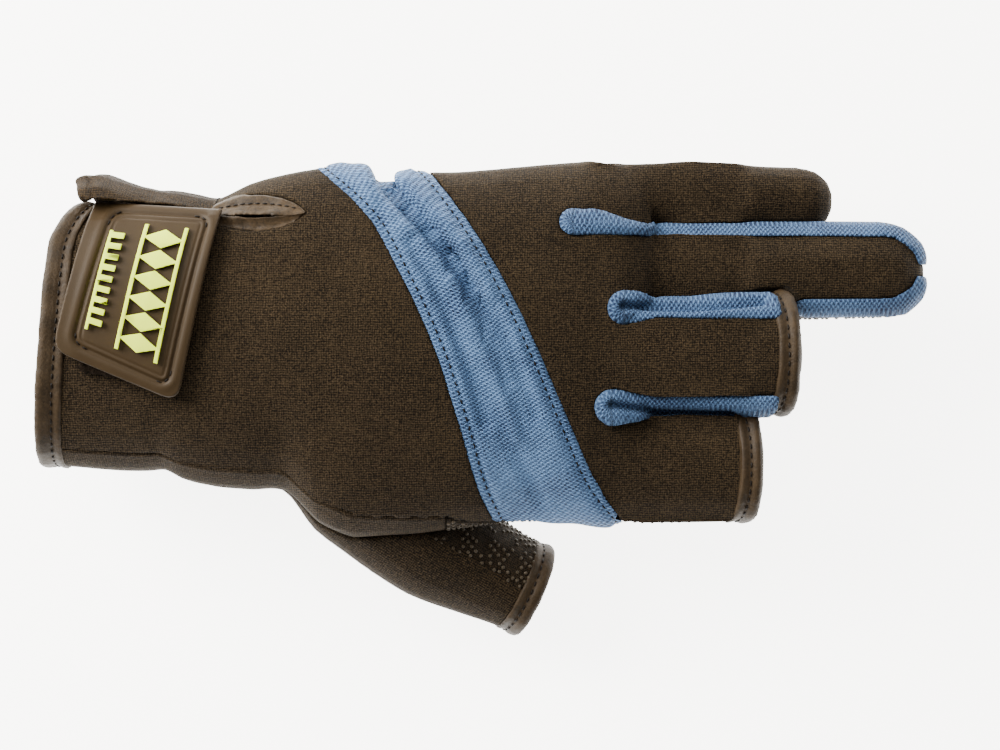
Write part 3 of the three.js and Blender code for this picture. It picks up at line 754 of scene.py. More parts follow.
def curve_cuff(piece):
    """Draws the cuff's edge back under the strap's tab."""
    points = coords(piece)
    fade = 1 - ramp(points[:, 0], 8, 22)
    points[:, 0] += 0.025 * np.maximum(points[:, 1] - 20, 0) ** 2 * fade
    set_coords(piece, points)


def to_edges(piece, others, most=8.0):
    """How far each point of a piece lies from the nearest of several other pieces, up to a limit."""
    surface = surface_of(*others)
    away = np.full(len(piece.data.vertices), most)
    for i, p in enumerate(coords(piece).tolist()):
        hit, _, _, far = surface.find_nearest(p, most)
        if hit is not None:
            away[i] = far
    return away


def plan_away(points, line):
    """How far points lie from a line in plan."""
    line = np.array(line, float)
    nearest = np.full(len(points), 1e9)
    for start, end in zip(line[:-1], line[1:]):
        span = end - start
        t = np.clip((points[:, :2] - start) @ span / (span @ span), 0, 1)
        nearest = np.minimum(nearest, np.linalg.norm(points[:, :2] - start - t[:, None] * span, axis=1))
    return nearest


def rounded_line(corners, radius, steps=8):
    """A closed line in plan through corners, each rounded."""
    corners = [np.array(corner, float) for corner in corners]
    line = []
    for before, corner, after in zip(corners[-1:] + corners[:-1], corners, corners[1:] + corners[:1]):
        start = corner + (before - corner) / np.linalg.norm(before - corner) * radius
        end = corner + (after - corner) / np.linalg.norm(after - corner) * radius
        for t in np.linspace(0, 1, steps):
            line.append(start * (1 - t) ** 2 + 2 * corner * t * (1 - t) + end * t * t)
    return [*line, line[0]]


def in_plan(points, line):
    """True for points inside a closed line in plan."""
    inside = np.zeros(len(points), bool)
    for (x0, y0), (x1, y1) in zip(line[:-1], line[1:]):
        if y0 == y1:
            continue
        crosses = (y0 > points[:, 1]) != (y1 > points[:, 1])
        inside ^= crosses & (points[:, 0] < (x1 - x0) * (points[:, 1] - y0) / (y1 - y0) + x0)
    return inside


def give_uv(piece, along, across):
    """Stores the cloth's own flat coordinates of every point, in metres, as its UV map."""
    layer = piece.data.uv_layers.new(name="cloth")
    corners = np.empty(len(piece.data.loops), int)
    piece.data.loops.foreach_get("vertex_index", corners)
    flat = np.stack([along[corners], across[corners]], -1) * MM
    layer.data.foreach_set("uv", flat.ravel())


def weave_uv(piece, along=(1, 0, 0), side=(0, 1, 0)):
    """Gives a wall its cloth coordinates: each face is laid flat along the glove and round it."""
    along, side = np.array(along, float), np.array(side, float)
    up = np.cross(along, side)
    points = coords(piece)
    faces = piece.data.polygons
    facing, count = np.empty(len(faces) * 3), np.empty(len(faces), int)
    faces.foreach_get("normal", facing)
    faces.foreach_get("loop_total", count)
    corners = np.empty(len(piece.data.loops), int)
    piece.data.loops.foreach_get("vertex_index", corners)
    turned = np.repeat(np.abs(facing.reshape(-1, 3) @ side) > 0.72, count)
    round_it = np.where(turned, points[corners] @ up, points[corners] @ side)
    flat = np.stack([points[corners] @ along, round_it], -1) * MM
    piece.data.uv_layers.new(name="cloth").data.foreach_set("uv", flat.ravel())


def dress(piece, node, material):
    """Gives a finished piece its material, smooth shading and the root as parent, and hides the CAD node that
    it stands for.
    """
    piece.data.materials.clear()
    piece.data.materials.append(material)
    piece.data.polygons.foreach_set("use_smooth", [True] * len(piece.data.polygons))
    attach(piece, "root")
    if node:
        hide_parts(*([node] if isinstance(node, str) else node))
    return piece


def surface_of(*pieces):
    """A tree of the triangles of several pieces, in millimetres."""
    points, faces, base = [], [], 0
    for piece in pieces:
        found = coords(piece)
        points.append(found)
        faces += [[base + i for i in face.vertices] for face in piece.data.polygons]
        base += len(found)
    return BVHTree.FromPolygons(np.concatenate(points).tolist(), faces)


def drop(surface, path, above=80):
    """A plan path laid on a surface from above: points and normals where it lands."""
    landed = []
    for x, y in path:
        hit, normal, _, _ = surface.ray_cast(Vector((x, y, above)), Vector((0, 0, -1)))
        if hit is not None:
            landed.append((np.array(hit), np.array(normal)))
    return landed


def ring(surface, opening):
    """The line round a bound opening, a little inside its edge."""
    out = np.array(opening["out"], float)
    out /= np.linalg.norm(out)
    centre = np.array(opening["at"], float) - out * opening["inset"]
    first = np.cross(out, (0, 0, 1))
    first /= np.linalg.norm(first)
    second = np.cross(out, first)
    landed = []
    for angle in np.linspace(0, 2 * np.pi, 241):
        away = first * math.cos(angle) + second * math.sin(angle)
        hit, normal, _, _ = surface.ray_cast(Vector(centre + away * opening["reach"]), Vector(-away))
        if hit is not None:
            landed.append((np.array(hit), np.array(normal)))
    return landed


def spread_along(landed, pitch, most=6.0):
    """Evenly spaced places on a landed path: point, direction, normal. Jumps over most are left out."""
    places = []
    left = 0.0
    for (p, n), (q, m) in zip(landed[:-1], landed[1:]):
        span = q - p
        length = np.linalg.norm(span)
        if length < 1e-6 or length > most:
            left = 0.0
            continue
        at = left
        while at < length:
            share = at / length
            normal = n * (1 - share) + m * share
            places.append((p + span * share, span / length, normal / np.linalg.norm(normal)))
            at += pitch
        left = at - length
    return places


def repeated(name, places, shape, faces):
    """One piece made of copies of a small shape, each placed along, across and up from a point."""
    shape = np.array(shape, float)
    points, all_faces = [], []
    for count, (at, along, up) in enumerate(places):
        across = np.cross(up, along)
        across /= np.linalg.norm(across)
        along = np.cross(across, up)
        points.append(at + shape[:, :1] * along + shape[:, 1:2] * across + shape[:, 2:] * up)
        all_faces += [[i + count * len(shape) for i in face] for face in faces]
    return piece_from(name, np.concatenate(points), all_faces)


def round_points(radius, sides):
    """Points evenly round a circle."""
    turns = [2 * math.pi * side / sides for side in range(sides)]
    return [(radius * math.cos(turn), radius * math.sin(turn)) for turn in turns]


def tube_faces(rows, sides):
    """The faces between rows of points that each close round."""
    faces = []
    for row in range(rows - 1):
        for side in range(sides):
            a, b = row * sides + side, row * sides + (side + 1) % sides
            faces.append([a, b, b + sides, a + sides])
    return faces


def thread_shape(length, radius, sides=6):
    """One stitch: a short bowed thread whose ends dip into the cloth."""
    rows = ((-1, 0.35), (-0.72, 0.9), (-0.25, 1), (0.25, 1), (0.72, 0.9), (1, 0.35))
    shape = []
    for share, size in rows:
        lift = radius * (0.55 - 1.5 * share**4)
        shape += [(share * length / 2, aside, lift + up) for aside, up in round_points(radius * size, sides)]
    faces = tube_faces(len(rows), sides)
    faces.append(list(range(sides))[::-1])
    faces.append([(len(rows) - 1) * sides + side for side in range(sides)])
    return shape, [face[::-1] for face in faces]


def dot_shape(radius, height, sides=8):
    """One silicone dot: a low dome sunk a little into the cloth."""
    shape = []
    for size, lift in ((1.0, -0.15), (0.96, 0.45 * height), (0.6, 0.9 * height)):
        shape += [(along, aside, lift) for along, aside in round_points(radius * size, sides)]
    shape.append((0, 0, height))
    faces = tube_faces(3, sides)
    for side in range(sides):
        faces.append([2 * sides + side, 2 * sides + (side + 1) % sides, 3 * sides])
    faces.append(list(range(sides))[::-1])
    return shape, faces


def sew(name, places, size, material):
    """Stitches at places: size is their length and radius in millimetres, and their sides if not six."""
    return dress(repeated(name, places, *thread_shape(*size)), None, material)


def color_field(name, description, default):
    """A colour that shows in the panel."""
    return FloatVectorProperty(name=name, description=description, subtype="COLOR", size=3, default=default)


class GloveCloth(bpy.types.PropertyGroup):
    """Colours and grain of the glove's cloths."""

    neoprene_dark: color_field(
        "Neoprene, dark", "Colour between the knit ribs of the neoprene", (0.0025, 0.0015, 0.0006)
    )
    neoprene_light: color_field(
        "Neoprene, light", "Colour on the knit ribs of the neoprene", (0.057, 0.0385, 0.02)
    )
    mesh_dark: color_field("Mesh, dark", "Colour in the holes of the blue mesh", (0.001, 0.007, 0.036))
    mesh_light: color_field("Mesh, light", "Colour of the blue mesh's strands", (0.13, 0.25, 0.47))
    rib: FloatProperty(
        name="Rib pitch",
        description="Distance between knit ribs, in millimetres",
        default=0.62,
        min=0.3,
        max=3,
    )
    hole: FloatProperty(
        name="Mesh pitch",
        description="Distance between holes of the mesh, in millimetres",
        default=1.1,
        min=0.5,
        max=4,
    )
    grain: FloatProperty(
        name="Wall grain",
        description="Size of the cloth's mesh cells, in millimetres",
        default=0.65,
        min=0.4,
        max=2,
    )


class GloveTrim(bpy.types.PropertyGroup):
    """Colours and sizes of tape, thread, rubber and marks."""

    tape: color_field("Tape", "Colour of the bound edges", (0.028, 0.0175, 0.008))
    rubber: color_field("Rubber", "Colour of the closure's patch", (0.04, 0.0245, 0.01))
    lime: color_field("Marks", "Colour of the raised marks", (0.82, 1.0, 0.06))
    thread: color_field("Thread", "Colour of the thread", (0.0035, 0.0022, 0.0012))
    stitch: FloatProperty(
        name="Stitch length",
        description="Length of one stitch with its gap",
        subtype="DISTANCE",
        unit="LENGTH",
        default=0.0024,
    )
    dot: FloatProperty(
        name="Dot size",
        description="Radius of one silicone dot on the grip cloth",
        subtype="DISTANCE",
        unit="LENGTH",
        default=0.00048,
    )


class GloveStage(bpy.types.PropertyGroup):
    """The floor, the light and the camera."""

    floor: color_field("Floor", "Colour of the plain floor", (0.93, 0.92, 0.89))
    light: FloatProperty(
        name="Light",
        description="Power of the main soft light",
        subtype="POWER",
        unit="POWER",
        default=26.0,
        min=0,
    )
    lens: FloatProperty(
        name="Lens", description="Camera's focal length, in millimetres", default=81.5, min=20
    )
    height: FloatProperty(
        name="Camera height",
        description="Height of the camera over the wrist's middle",
        subtype="DISTANCE",
        unit="LENGTH",
        default=0.6,
    )


# What is made once and then shared.
_surfaces = []
_materials = {}


def surfaces():
    """The smooth surfaces, made once."""
    if not _surfaces:
        _surfaces.extend(smooth_surfaces())
    return _surfaces


# The strap faces the main light, so its knit is darker and warmer than the walls'.
STRAP_TINT = (0.85, 0.75, 0.55)


def tinted(color, *shares):
    """A colour with its red, green and blue taken down or up, by one share or by three."""
    return tuple(part * share for part, share in zip(color, shares * 3 if len(shares) == 1 else shares))


def cloth_materials():
    """The cloths' materials by name, made once."""
    cloth = bpy.context.scene.glove_cloth
    if not _materials:
        dark, light = cloth.neoprene_dark, cloth.neoprene_light
        _materials["neoprene"] = knit_material("neoprene_knit", dark, light, cloth.rib, 0.82)
        grip = (tinted(dark, 0.7), tinted(light, 0.7))
        _materials["grip_cloth"] = knit_material("grip_knit", *grip, cloth.rib * 0.9, 0.7)
        strap = (tinted(dark, *STRAP_TINT), tinted(light, *STRAP_TINT))
        _materials["strap_cloth"] = knit_material("strap_knit", *strap, cloth.rib, 0.75)
        dark, light = cloth.mesh_dark, cloth.mesh_light
        _materials["blue_mesh"] = mesh_material("mesh_knit", dark, light, cloth.hole)
        _materials["gusset_mesh"] = mesh_material("gusset_knit", dark, tinted(light, 0.72), cloth.hole * 1.15)
    return _materials


# Each wall's slot and material.
WALLS = {
    "wrist_back_panel": ("neoprene", "neoprene"),
    "finger_back_panel": ("neoprene", "neoprene"),
    "palm_heel_panel": ("neoprene", "neoprene"),
    "thumb_panel": ("neoprene", "neoprene"),
    "palm_grip_panel": ("grip_fabric", "grip_cloth"),
    "thumb_grip_panel": ("grip_fabric", "grip_cloth"),
}

# The thumb's two walls, each with the one that it's sewn to.
THUMB_SEAM = {"thumb_panel": "thumb_grip_panel", "thumb_grip_panel": "thumb_panel"}

# Each gusset's crease in plan, and the middle of its round end.
GUSSETS = (
    ("gusset_little_ring", (), (136.7, 27.7)),
    (
        "gusset_ring_middle",
        ((149.5, 5.9), (157.8, 5.5), (167.7, 5.3), (177.6, 5.9), (186, 6.8)),
        (149.9, 5.3),
    ),
    (
        "gusset_middle_index",
        ((146.6, -19.6), (151.3, -20.4), (157.9, -21.2), (164.5, -21.6), (178, -21.7)),
        (146.7, -20.0),
    ),
)

# Sizes of the smaller pieces' mesh cells, in millimetres.
CELLS = {"gusset": 0.45, "binding": 0.45, "vent": 0.35, "strap": 0.5, "pad": 0.4, "patch": 0.3}

# Unevenness of each cloth: depth and size in millimetres.
WALL_RIPPLE = (0.3, 26)
BINDING_RIPPLE = (0.25, 8)
VENT_RIPPLE = (0.35, 4.5)
STRAP_RIPPLE = (0.25, 7)
PAD_RIPPLE = (0.5, 1.3)

# Where along the glove the fingers' upper side is evened, and in how many rounds.
EVEN_PLACES = (138, 186)
EVEN_ROUNDS = 500

# How far the blue strip's round end is drawn in, and how far the band's stitches lie from its edges.
STRIP_TAPER = 2.3
BAND_SEAM = 2.0

# Where the vent starts along the glove, its length, its middle line and half its width, in millimetres, and
# where its stitches run as a share of that half.
VENT_START = 41.6
VENT_LENGTH = 26
VENT_MIDDLE = 29.9
VENT_HALF = 4.5
VENT_SEAM = 0.78

# Length and radius of the short stitches; of the pad's fibres also the sides, and how many there are.
SHORT_STITCH = (1.5, 0.2)
PILE_FIBRE = (1.5, 0.09, 4)
PILE_FIBRES = 420

# How far the raised marks are set over the patch's own face, in millimetres.
MARK_RISE = 0.25

# The silicone dots' distance in millimetres, and their dark and light colour.
DOT_PITCH = 2.4
SILICONE = ((0.02, 0.015, 0.01), (0.09, 0.07, 0.045))

# The stitched groove round the patch, in plan.
PATCH_GROOVE = ((18.2, 30.4), (43.2, 28.7), (33.3, -14.6), (9.2, -3.8))

# The band lies aslant: its true width as a share of what it covers along the glove, and its true length for
# each millimetre across.
BAND_SLANT = 0.88
BAND_RUN = 1.12

# The band's deep valley, and its gentler waves, as lines in plan.
BAND_VALLEY = ((86, 42), (88.9, 36.5), (97.8, 27.3), (105.6, 19.0), (111.1, 10.1), (117.5, 0.0), (122, -10))
BAND_WAVES = (
    (((95, 22), (100, 14), (105.5, 2), (110, -10), (114, -24)), 2.0, 1.5),
    (((117, 6), (122, -8), (127, -22)), 1.8, 1.1),
    (((113, -12), (121, -30), (128, -44)), 2.4, 0.9),
    (((106, 12), (112, -2), (118, -16), (122, -28)), 1.8, -0.8),
)

# Creases pressed into the back of the hand: points, width and depth in millimetres.
FOLDS = (
    (((18, 39, 8), (30, 36, 14), (38, 33, 17)), 2.6, 0.8),
    (((44, 20, 20), (58, 12, 21), (76, 8, 21)), 7.0, 0.5),
    (((70, -40, 8), (84, -46, 4), (96, -50, -2)), 3.0, 0.7),
    (((84, 45, 3), (87.5, 44, -3), (90, 44, -10)), 3.5, 2.5),
)


def wall(node, grain):
    """One panel of the glove as a soft, even, slightly rippled wall."""
    slot, material = WALLS[node]
    piece = node_copy(node, node.replace("_panel", "_cloth"))
    remesh(piece, grain)
    out = settle(piece, surfaces()[0])
    if node == "finger_back_panel":
        even_top(piece, EVEN_PLACES, EVEN_ROUNDS)
        taper_strip(piece)
    if node in THUMB_SEAM:
        meet(piece, THUMB_SEAM[node])
    if node in ("finger_back_panel", "palm_grip_panel"):
        even_side(piece)
    ripple(piece, out, *WALL_RIPPLE, len(node))
    pinch(piece, out, FOLDS)
    if node in ("wrist_back_panel", "palm_heel_panel"):
        curve_cuff(piece)
    if node.startswith("thumb"):
        weave_uv(piece, THUMB_ALONG, THUMB_SIDE)
    else:
        weave_uv(piece)
    return dress(piece, node, cloth_materials()[material])


class GLOVE_OT_neoprene(bpy.types.Operator):
    """Builds the stretch neoprene walls of the back, the heel and the thumb."""

    bl_idname = "glove.neoprene"
    bl_label = "Neoprene"

    def execute(self, context):
        for node in ("wrist_back_panel", "finger_back_panel", "palm_heel_panel", "thumb_panel"):
            wall(node, context.scene.glove_cloth.grain)
        return {"FINISHED"}


class GLOVE_OT_grip(bpy.types.Operator):
    """Builds the palm's grip cloth, with its silicone dots."""

    bl_idname = "glove.grip"
    bl_label = "Grip Cloth"

    def execute(self, context):
        for node in ("palm_grip_panel", "thumb_grip_panel"):
            piece = wall(node, context.scene.glove_cloth.grain)
            self.dots(context, piece, node)
        return {"FINISHED"}

    def dots(self, context, piece, node):
        """Spreads the dots over the cloth's outer face, in staggered rows."""
        points, facing = coords(piece), normals(piece)
        pairs = enumerate(zip(points.tolist(), facing.tolist()))
        outer = [i for i, (p, n) in pairs if self.outside(node, p, n)]
        places = []
        flat = points[outer]
        level = (np.abs(facing[outer][:, 2]) > 0.6)[:, None]
        keys = np.where(level, flat[:, [0, 1]], flat[:, [0, 2]] + np.array([0, 500]))
        row = np.round(keys[:, 1] / (DOT_PITCH * 0.5))
        column = np.round(keys[:, 0] / DOT_PITCH - 0.5 * (row % 2))
        target = np.stack([(column + 0.5 * (row % 2)) * DOT_PITCH, row * DOT_PITCH * 0.5], -1)
        away = np.linalg.norm(keys - target, axis=1)
        best = {}
        for i, (key, far) in enumerate(zip(zip(row.tolist(), column.tolist()), away.tolist())):
            if far < best.get(key, (0.6, 0))[0]:
                best[key] = (far, i)
        for _, i in best.values():
            at, up = points[outer[i]], facing[outer[i]]
            near = min((np.linalg.norm(at - other[0]) for other in places[-60:]), default=DOT_PITCH)
            if near < DOT_PITCH * 0.45:
                continue
            along = np.cross(up, (0.3, 1, 0.2))
            places.append((at, along / np.linalg.norm(along), up))
        shape, faces = dot_shape(context.scene.glove_trim.dot / MM, 0.4)
        dots = repeated(node.replace("_panel", "_dots"), places, shape, faces)
        if "silicone" not in _materials:
            _materials["silicone"] = rubber_material("silicone", *SILICONE, 0.02, 0.2)
        dress(dots, None, _materials["silicone"])

    def outside(self, node, point, facing):
        """True on the outer face, and on the palm's cloth away from the back of the hand."""
        if node == "palm_grip_panel" and facing[2] > (-0.3 if point[1] > 20 else 0.75):
            return False
        hit, normal, _, away = surfaces()[0].find_nearest(point, 1.3)
        if hit is None or away >= 1.3 or normal.dot(Vector(facing)) ** 2 <= 0.7:
            return False
        return self.free(point, facing)

    def free(self, point, facing):
        """True where nothing of the wall lies just outside the point."""
        start = Vector(point) + Vector(facing) * 0.8
        return surfaces()[0].ray_cast(start, Vector(facing), 1.6)[0] is None


class GLOVE_OT_mesh(bpy.types.Operator):
    """Builds the blue mesh: the diagonal band and the gussets between the fingers."""

    bl_idname = "glove.mesh"
    bl_label = "Blue Mesh"

    def execute(self, context):
        grain = context.scene.glove_cloth.grain
        materials = cloth_materials()
        band = node_copy("diagonal_band", "band_cloth")
        remesh(band, grain * 0.85)
        self.fold_band(band, settle(band, surfaces()[1]))
        dress(band, "diagonal_band", materials["blue_mesh"])
        for node, crease, head in GUSSETS:
            self.gusset(node, crease, head, materials["gusset_mesh"])
        return {"FINISHED"}

    def fold_band(self, band, out):
        """Puffs the band between its seams and folds it along its length."""
        points = coords(band)
        near, far = band_line(points[:, 1])
        share = (points[:, 0] - near) / (far - near)
        width = (far - near) * BAND_SLANT
        push = 0.9 * np.sin(np.pi * np.clip(share, 0, 1)) ** 0.8
        for seam in (BAND_SEAM / width, 1 - BAND_SEAM / width):
            push -= 0.55 * bell((share - seam) * width, 0.8)
        valley = plan_away(points, BAND_VALLEY)
        reach = ramp(points[:, 1], -6, 26)
        push -= 3.6 * reach * bell(valley, 2.0)
        push += 1.3 * reach * bell(valley - 4.0, 2.2)
        for line, spread, depth in BAND_WAVES:
            push -= depth * bell(plan_away(points, line), spread)
        push *= np.clip(out[:, 2] * 3 + 1.2, 0, 1)
        edge = np.maximum(np.minimum(share, 1 - share) * width, 0)
        push -= 0.5 * bell(edge, 0.5)
        points[:, 0] += np.where(share < 0.5, -0.8, 0.8) * bell(edge, 0.7)
        set_coords(band, points + out * push[:, None])
        give_uv(band, -points[:, 1] * BAND_RUN + np.minimum(points[:, 2], 0), share * width)

    def gusset(self, node, crease, head, material):
        """A gusset with its rolled ridges: it puffs between its seams and sinks along its crease."""
        piece = node_copy(node, node + "_cloth")
        remesh(piece, CELLS["gusset"])
        settle(piece, surfaces()[0], 16, 0.65)
        walls = [bpy.data.objects[name] for name in ("finger_back_cloth", "palm_grip_cloth")]
        points, facing = coords(piece), normals(piece)
        away = to_edges(piece, walls, 4.0)
        push = 1.15 * (1 - bell(away, 1.5)) * np.clip(facing[:, 2] * 2 + 0.4, 0, 1)
        if crease:
            valley = bell(plan_away(points, crease), 0.9)
            push -= 2.8 * valley * np.clip(facing[:, 2] + 0.3, 0, 1)
        set_coords(piece, points + facing * push[:, None])
        smooth(piece, 3, -0.5)
        if node == "gusset_little_ring":
            taper_strip(piece)
        points = coords(piece)
        round_head = np.hypot(points[:, 0] - head[0], points[:, 1] - head[1])
        turn = np.arctan2(points[:, 1] - head[1], -(points[:, 0] - head[0]))
        straight = points[:, 0] > head[0]
        along = np.where(straight, points[:, 0] - head[0], -np.abs(turn) * 3.2)
        across = np.where(straight, np.abs(points[:, 1] - head[1]), round_head) + np.abs(points[:, 2]) * 0.5
        give_uv(piece, along, across)
        dress(piece, node, material)


class GLOVE_OT_bindings(bpy.types.Operator):
    """Builds the bound edges of the openings and the vent, with their stitches."""

    bl_idname = "glove.bindings"
    bl_label = "Bound Edges"

    def execute(self, context):
        trim = context.scene.glove_trim
        tape = tape_material("tape", tinted(trim.tape, 0.5), tinted(trim.tape, 1.6))
        thread = tape_material("thread", tinted(trim.thread, 0.6), tinted(trim.thread, 2.5))
        _materials["thread"] = thread
        for node, opening in OPENINGS.items():
            piece = node_copy(node, node.replace("_binding", "_tape"))
            remesh(piece, CELLS["binding"])
            out = settle(piece, surfaces()[0], 14, 0.6)
            self.roll(piece, out, opening)
            ripple(piece, out, *BINDING_RIPPLE, len(node))
            dress(piece, node, tape)
            line = ring(surface_of(piece), opening)
            if node == "cuff_binding":
                curve_cuff(piece)
            places = spread_along(line, trim.stitch / MM)
            name = node.replace("_binding", "_stitches")
            stitches = sew(name, places, (trim.stitch / MM * 0.7, 0.24), thread)
            if node == "cuff_binding":
                curve_cuff(stitches)
        self.vent(trim, thread)
        return {"FINISHED"}

    def roll(self, piece, out, opening):
        """Rolls the tape over the open edge, sinks its stitch line and laps it over the cloth."""
        points = coords(piece)
        way = np.array(opening["out"], float)
        way /= np.linalg.norm(way)
        depth = -(points - np.array(opening["at"], float)) @ way
        stitch = opening["inset"]
        push = 0.4 * bell(depth - 1.3, 1.2) - 0.45 * bell(depth - stitch, 0.5)
        lap = np.clip((depth - stitch + 0.3) / 1.2, 0, 1) * 0.8
        set_coords(piece, points + out * push[:, None] - way * lap[:, None])

    def vent(self, trim, thread):
        """The folded tape round the vent: a wide stitched upper lip over the slit, and a narrow lower one."""
        # The lip's light colour, well over the tape's own, is painted highlight, laid on in patches by the
        # tape's blotches.
        highlit_leather = tape_material("vent_tape", tinted(trim.tape, 0.35), tinted(trim.tape, 2.3))
        piece = node_copy("vent_binding", "vent_tape")
        remesh(piece, CELLS["vent"])
        out = settle(piece, surfaces()[0], 10, 0.6)
        points = coords(piece)
        share = np.clip((points[:, 0] - VENT_START) / VENT_LENGTH, 0.01, 0.99)
        ends = np.sin(np.pi * share) ** 0.6
        t = np.clip((points[:, 1] - VENT_MIDDLE) / (VENT_HALF * ends), -1, 1)
        points[:, 1] -= VENT_HALF * ends * 0.5 * (1 - t * t) * ramp(t, -0.3, 0.5)
        puff = 1.3 * bell(t - 0.2, 0.4) - 0.5 * bell(t - VENT_SEAM, 0.1)
        puff -= 1.7 * bell(t + 0.8, 0.45)
        set_coords(piece, points + out * (puff * ends)[:, None])
        ripple(piece, out, *VENT_RIPPLE, 4)
        dress(piece, "vent_binding", highlit_leather)
        along = np.linspace(43.5, 66, 60)
        half = VENT_HALF * np.sin(np.pi * (along - VENT_START) / VENT_LENGTH) ** 0.6
        edge = VENT_MIDDLE + half * (VENT_SEAM - 0.5 * (1 - VENT_SEAM**2))
        landed = drop(surface_of(piece), zip(along, edge))
        sew("vent_stitches", spread_along(landed, 2.0), SHORT_STITCH, thread)


class GLOVE_OT_closure(bpy.types.Operator):
    """Builds the wrist strap, its loop pad, its rubber patch and the raised marks."""

    bl_idname = "glove.closure"
    bl_label = "Closure"

    def execute(self, context):
        trim = context.scene.glove_trim
        strap = node_copy("closure_strap", "closure_strap_cloth")
        remesh(strap, CELLS["strap"])
        smooth(strap, 30)
        self.thin_end(strap)
        ripple(strap, normals(strap), *STRAP_RIPPLE, 2)
        weave_uv(strap)
        dress(strap, "closure_strap", cloth_materials()["strap_cloth"])
        pad = node_copy("closure_pad", "closure_loop_pad")
        remesh(pad, CELLS["pad"])
        smooth(pad, 4, 0.0)
        ripple(pad, normals(pad), *PAD_RIPPLE, 3)
        pile = pile_material("loop_pile", (0.003, 0.002, 0.0015), (0.03, 0.021, 0.014))
        dress(pad, "closure_pad", pile)
        self.fuzz(pad, pile)
        self.patch(trim)
        lime = rubber_material("lime_rubber", tinted(trim.lime, 0.8), trim.lime, 0.02, 0.45)
        self.marks("patch_lozenges", "patch_lozenge_marks", lime, 0.15)
        self.marks("patch_blocks", "patch_block_marks", lime, 0.12)
        return {"FINISHED"}

    def patch(self, trim):
        """The moulded patch: a raised rim, a stitched groove inside it, and a smooth field."""
        piece = node_copy("closure_patch", "closure_rubber_patch")
        bevel_sharp(piece, 0.5, 2)
        remesh(piece, CELLS["patch"])
        smooth(piece, 12)
        self.lift = self.even_lift(piece)
        set_coords(piece, self.raised(coords(piece)))
        points, facing = coords(piece), normals(piece)
        groove = rounded_line(PATCH_GROOVE, 3.2)
        away = plan_away(points, groove)
        inside = in_plan(points, groove)
        push = -0.55 * bell(away, 0.45) - 0.22 * bell(away - 1.5, 0.3) * inside
        push += 0.25 * bell(away - 1.6, 1.0) * ~inside
        set_coords(piece, points + facing * (push * np.clip(facing[:, 2] * 3 - 1, 0, 1))[:, None])
        rubber = rubber_material("patch_moulded", tinted(trim.rubber, 0.6), trim.rubber, 0.03, 0.42)
        dress(piece, "closure_patch", rubber)
        landed = drop(surface_of(piece), groove)
        places = [(at + up * 0.12, along, up) for at, along, up in spread_along(landed, 2.1)]
        sew("patch_stitches", places, SHORT_STITCH, _materials["thread"])

    def fuzz(self, pad, pile):
        """Short fibres that stand up from the loop pad at all slants."""
        points, facing = coords(pad), normals(pad)
        chance = np.random.RandomState(5)
        upper = np.flatnonzero((facing[:, 2] > 0.2) & (points[:, 1] < -4))
        places = []
        for i in chance.choice(upper, min(PILE_FIBRES, len(upper)), replace=False):
            lean = facing[i] * 0.7 + chance.uniform(-0.8, 0.8, 3)
            lean /= np.linalg.norm(lean)
            side = np.cross(lean, chance.uniform(-1, 1, 3))
            places.append((points[i] + lean * 0.4, lean, side / np.linalg.norm(side)))
        sew("closure_loop_fibres", places, PILE_FIBRE, pile)

    def even_lift(self, piece):
        """What brings the patch's upper face onto one even curve: a tree of plan points with their lifts."""
        points, facing = coords(piece), normals(piece)
        top = points[facing[:, 2] > 0.8]
        x, y = (top[:, :2] / 30).T
        terms = np.stack([x**i * y**j for i in range(3) for j in range(5 - i)], -1)
        shares = np.linalg.lstsq(terms, top[:, 2], rcond=None)[0]
        return tree_of(top * (1, 1, 0), np.arange(len(top))), terms @ shares - top[:, 2]

    def raised(self, points):
        """Points moved up or down with the patch's evened face."""
        tree, lift = self.lift
        points = points.copy()
        points[:, 2] += [lift[tree.find((px, py, 0))[1]] for px, py, _ in points.tolist()]
        return points

    def thin_end(self, strap):
        """Brings the strap's inner end down to its cloth, and sinks the seam of its rolled tab."""
        points = coords(strap)
        under = surfaces()[0]
        share = ramp(points[:, 0], 30, 12.5) ** 2
        for i in np.flatnonzero(share > 0).tolist():
            hit, _, _, _ = under.find_nearest(points[i], 9)
            if hit is not None:
                low = np.array(hit)
                points[i] = low + (points[i] - low) * (1 - 0.86 * share[i])
        tab = np.clip((15 - points[:, 0]) / 7, 0, 1) ** 1.3
        upper = ramp(points[:, 2], -4, 10)
        points[:, 0] -= tab * (0.4 + 0.62 * (points[:, 1] - 37))
        points[:, 1] += tab * (upper * 0.5 - 1.1)
        points[:, 2] += tab * upper * 1.2
        seam = 12.6 - (points[:, 1] - 35) * 0.33
        push = -0.6 * bell(points[:, 0] - seam, 0.55)
        push += 0.4 * bell(points[:, 0] - seam + 2.6, 1.7)
        set_coords(strap, points + normals(strap) * push[:, None])

    def marks(self, node, name, material, bevel):
        """A row of raised marks with its sharp edges bevelled, set a little over the patch's face."""
        piece = node_copy(node, name)
        set_coords(piece, self.raised(coords(piece)) + np.array([0, 0, MARK_RISE]))
        bevel_sharp(piece, bevel, 3)
        dress(piece, node, material)
        only(piece)
        bpy.ops.object.shade_smooth_by_angle(angle=SHARP)


class GLOVE_OT_stitching(bpy.types.Operator):
    """Sews the band's two edges."""

    bl_idname = "glove.stitching"
    bl_label = "Stitching"

    def execute(self, context):
        trim = context.scene.glove_trim
        size = (trim.stitch / MM * 0.62, 0.22)
        band = surface_of(bpy.data.objects["band_cloth"])
        across = np.linspace(-51, 43, 220)
        near, far = band_line(across)
        for name, line in (("near", near + BAND_SEAM), ("far", far - BAND_SEAM)):
            places = spread_along(drop(band, zip(line, across)), trim.stitch / MM)
            sew("band_stitches_" + name, places, size, _materials["thread"])
        return {"FINISHED"}


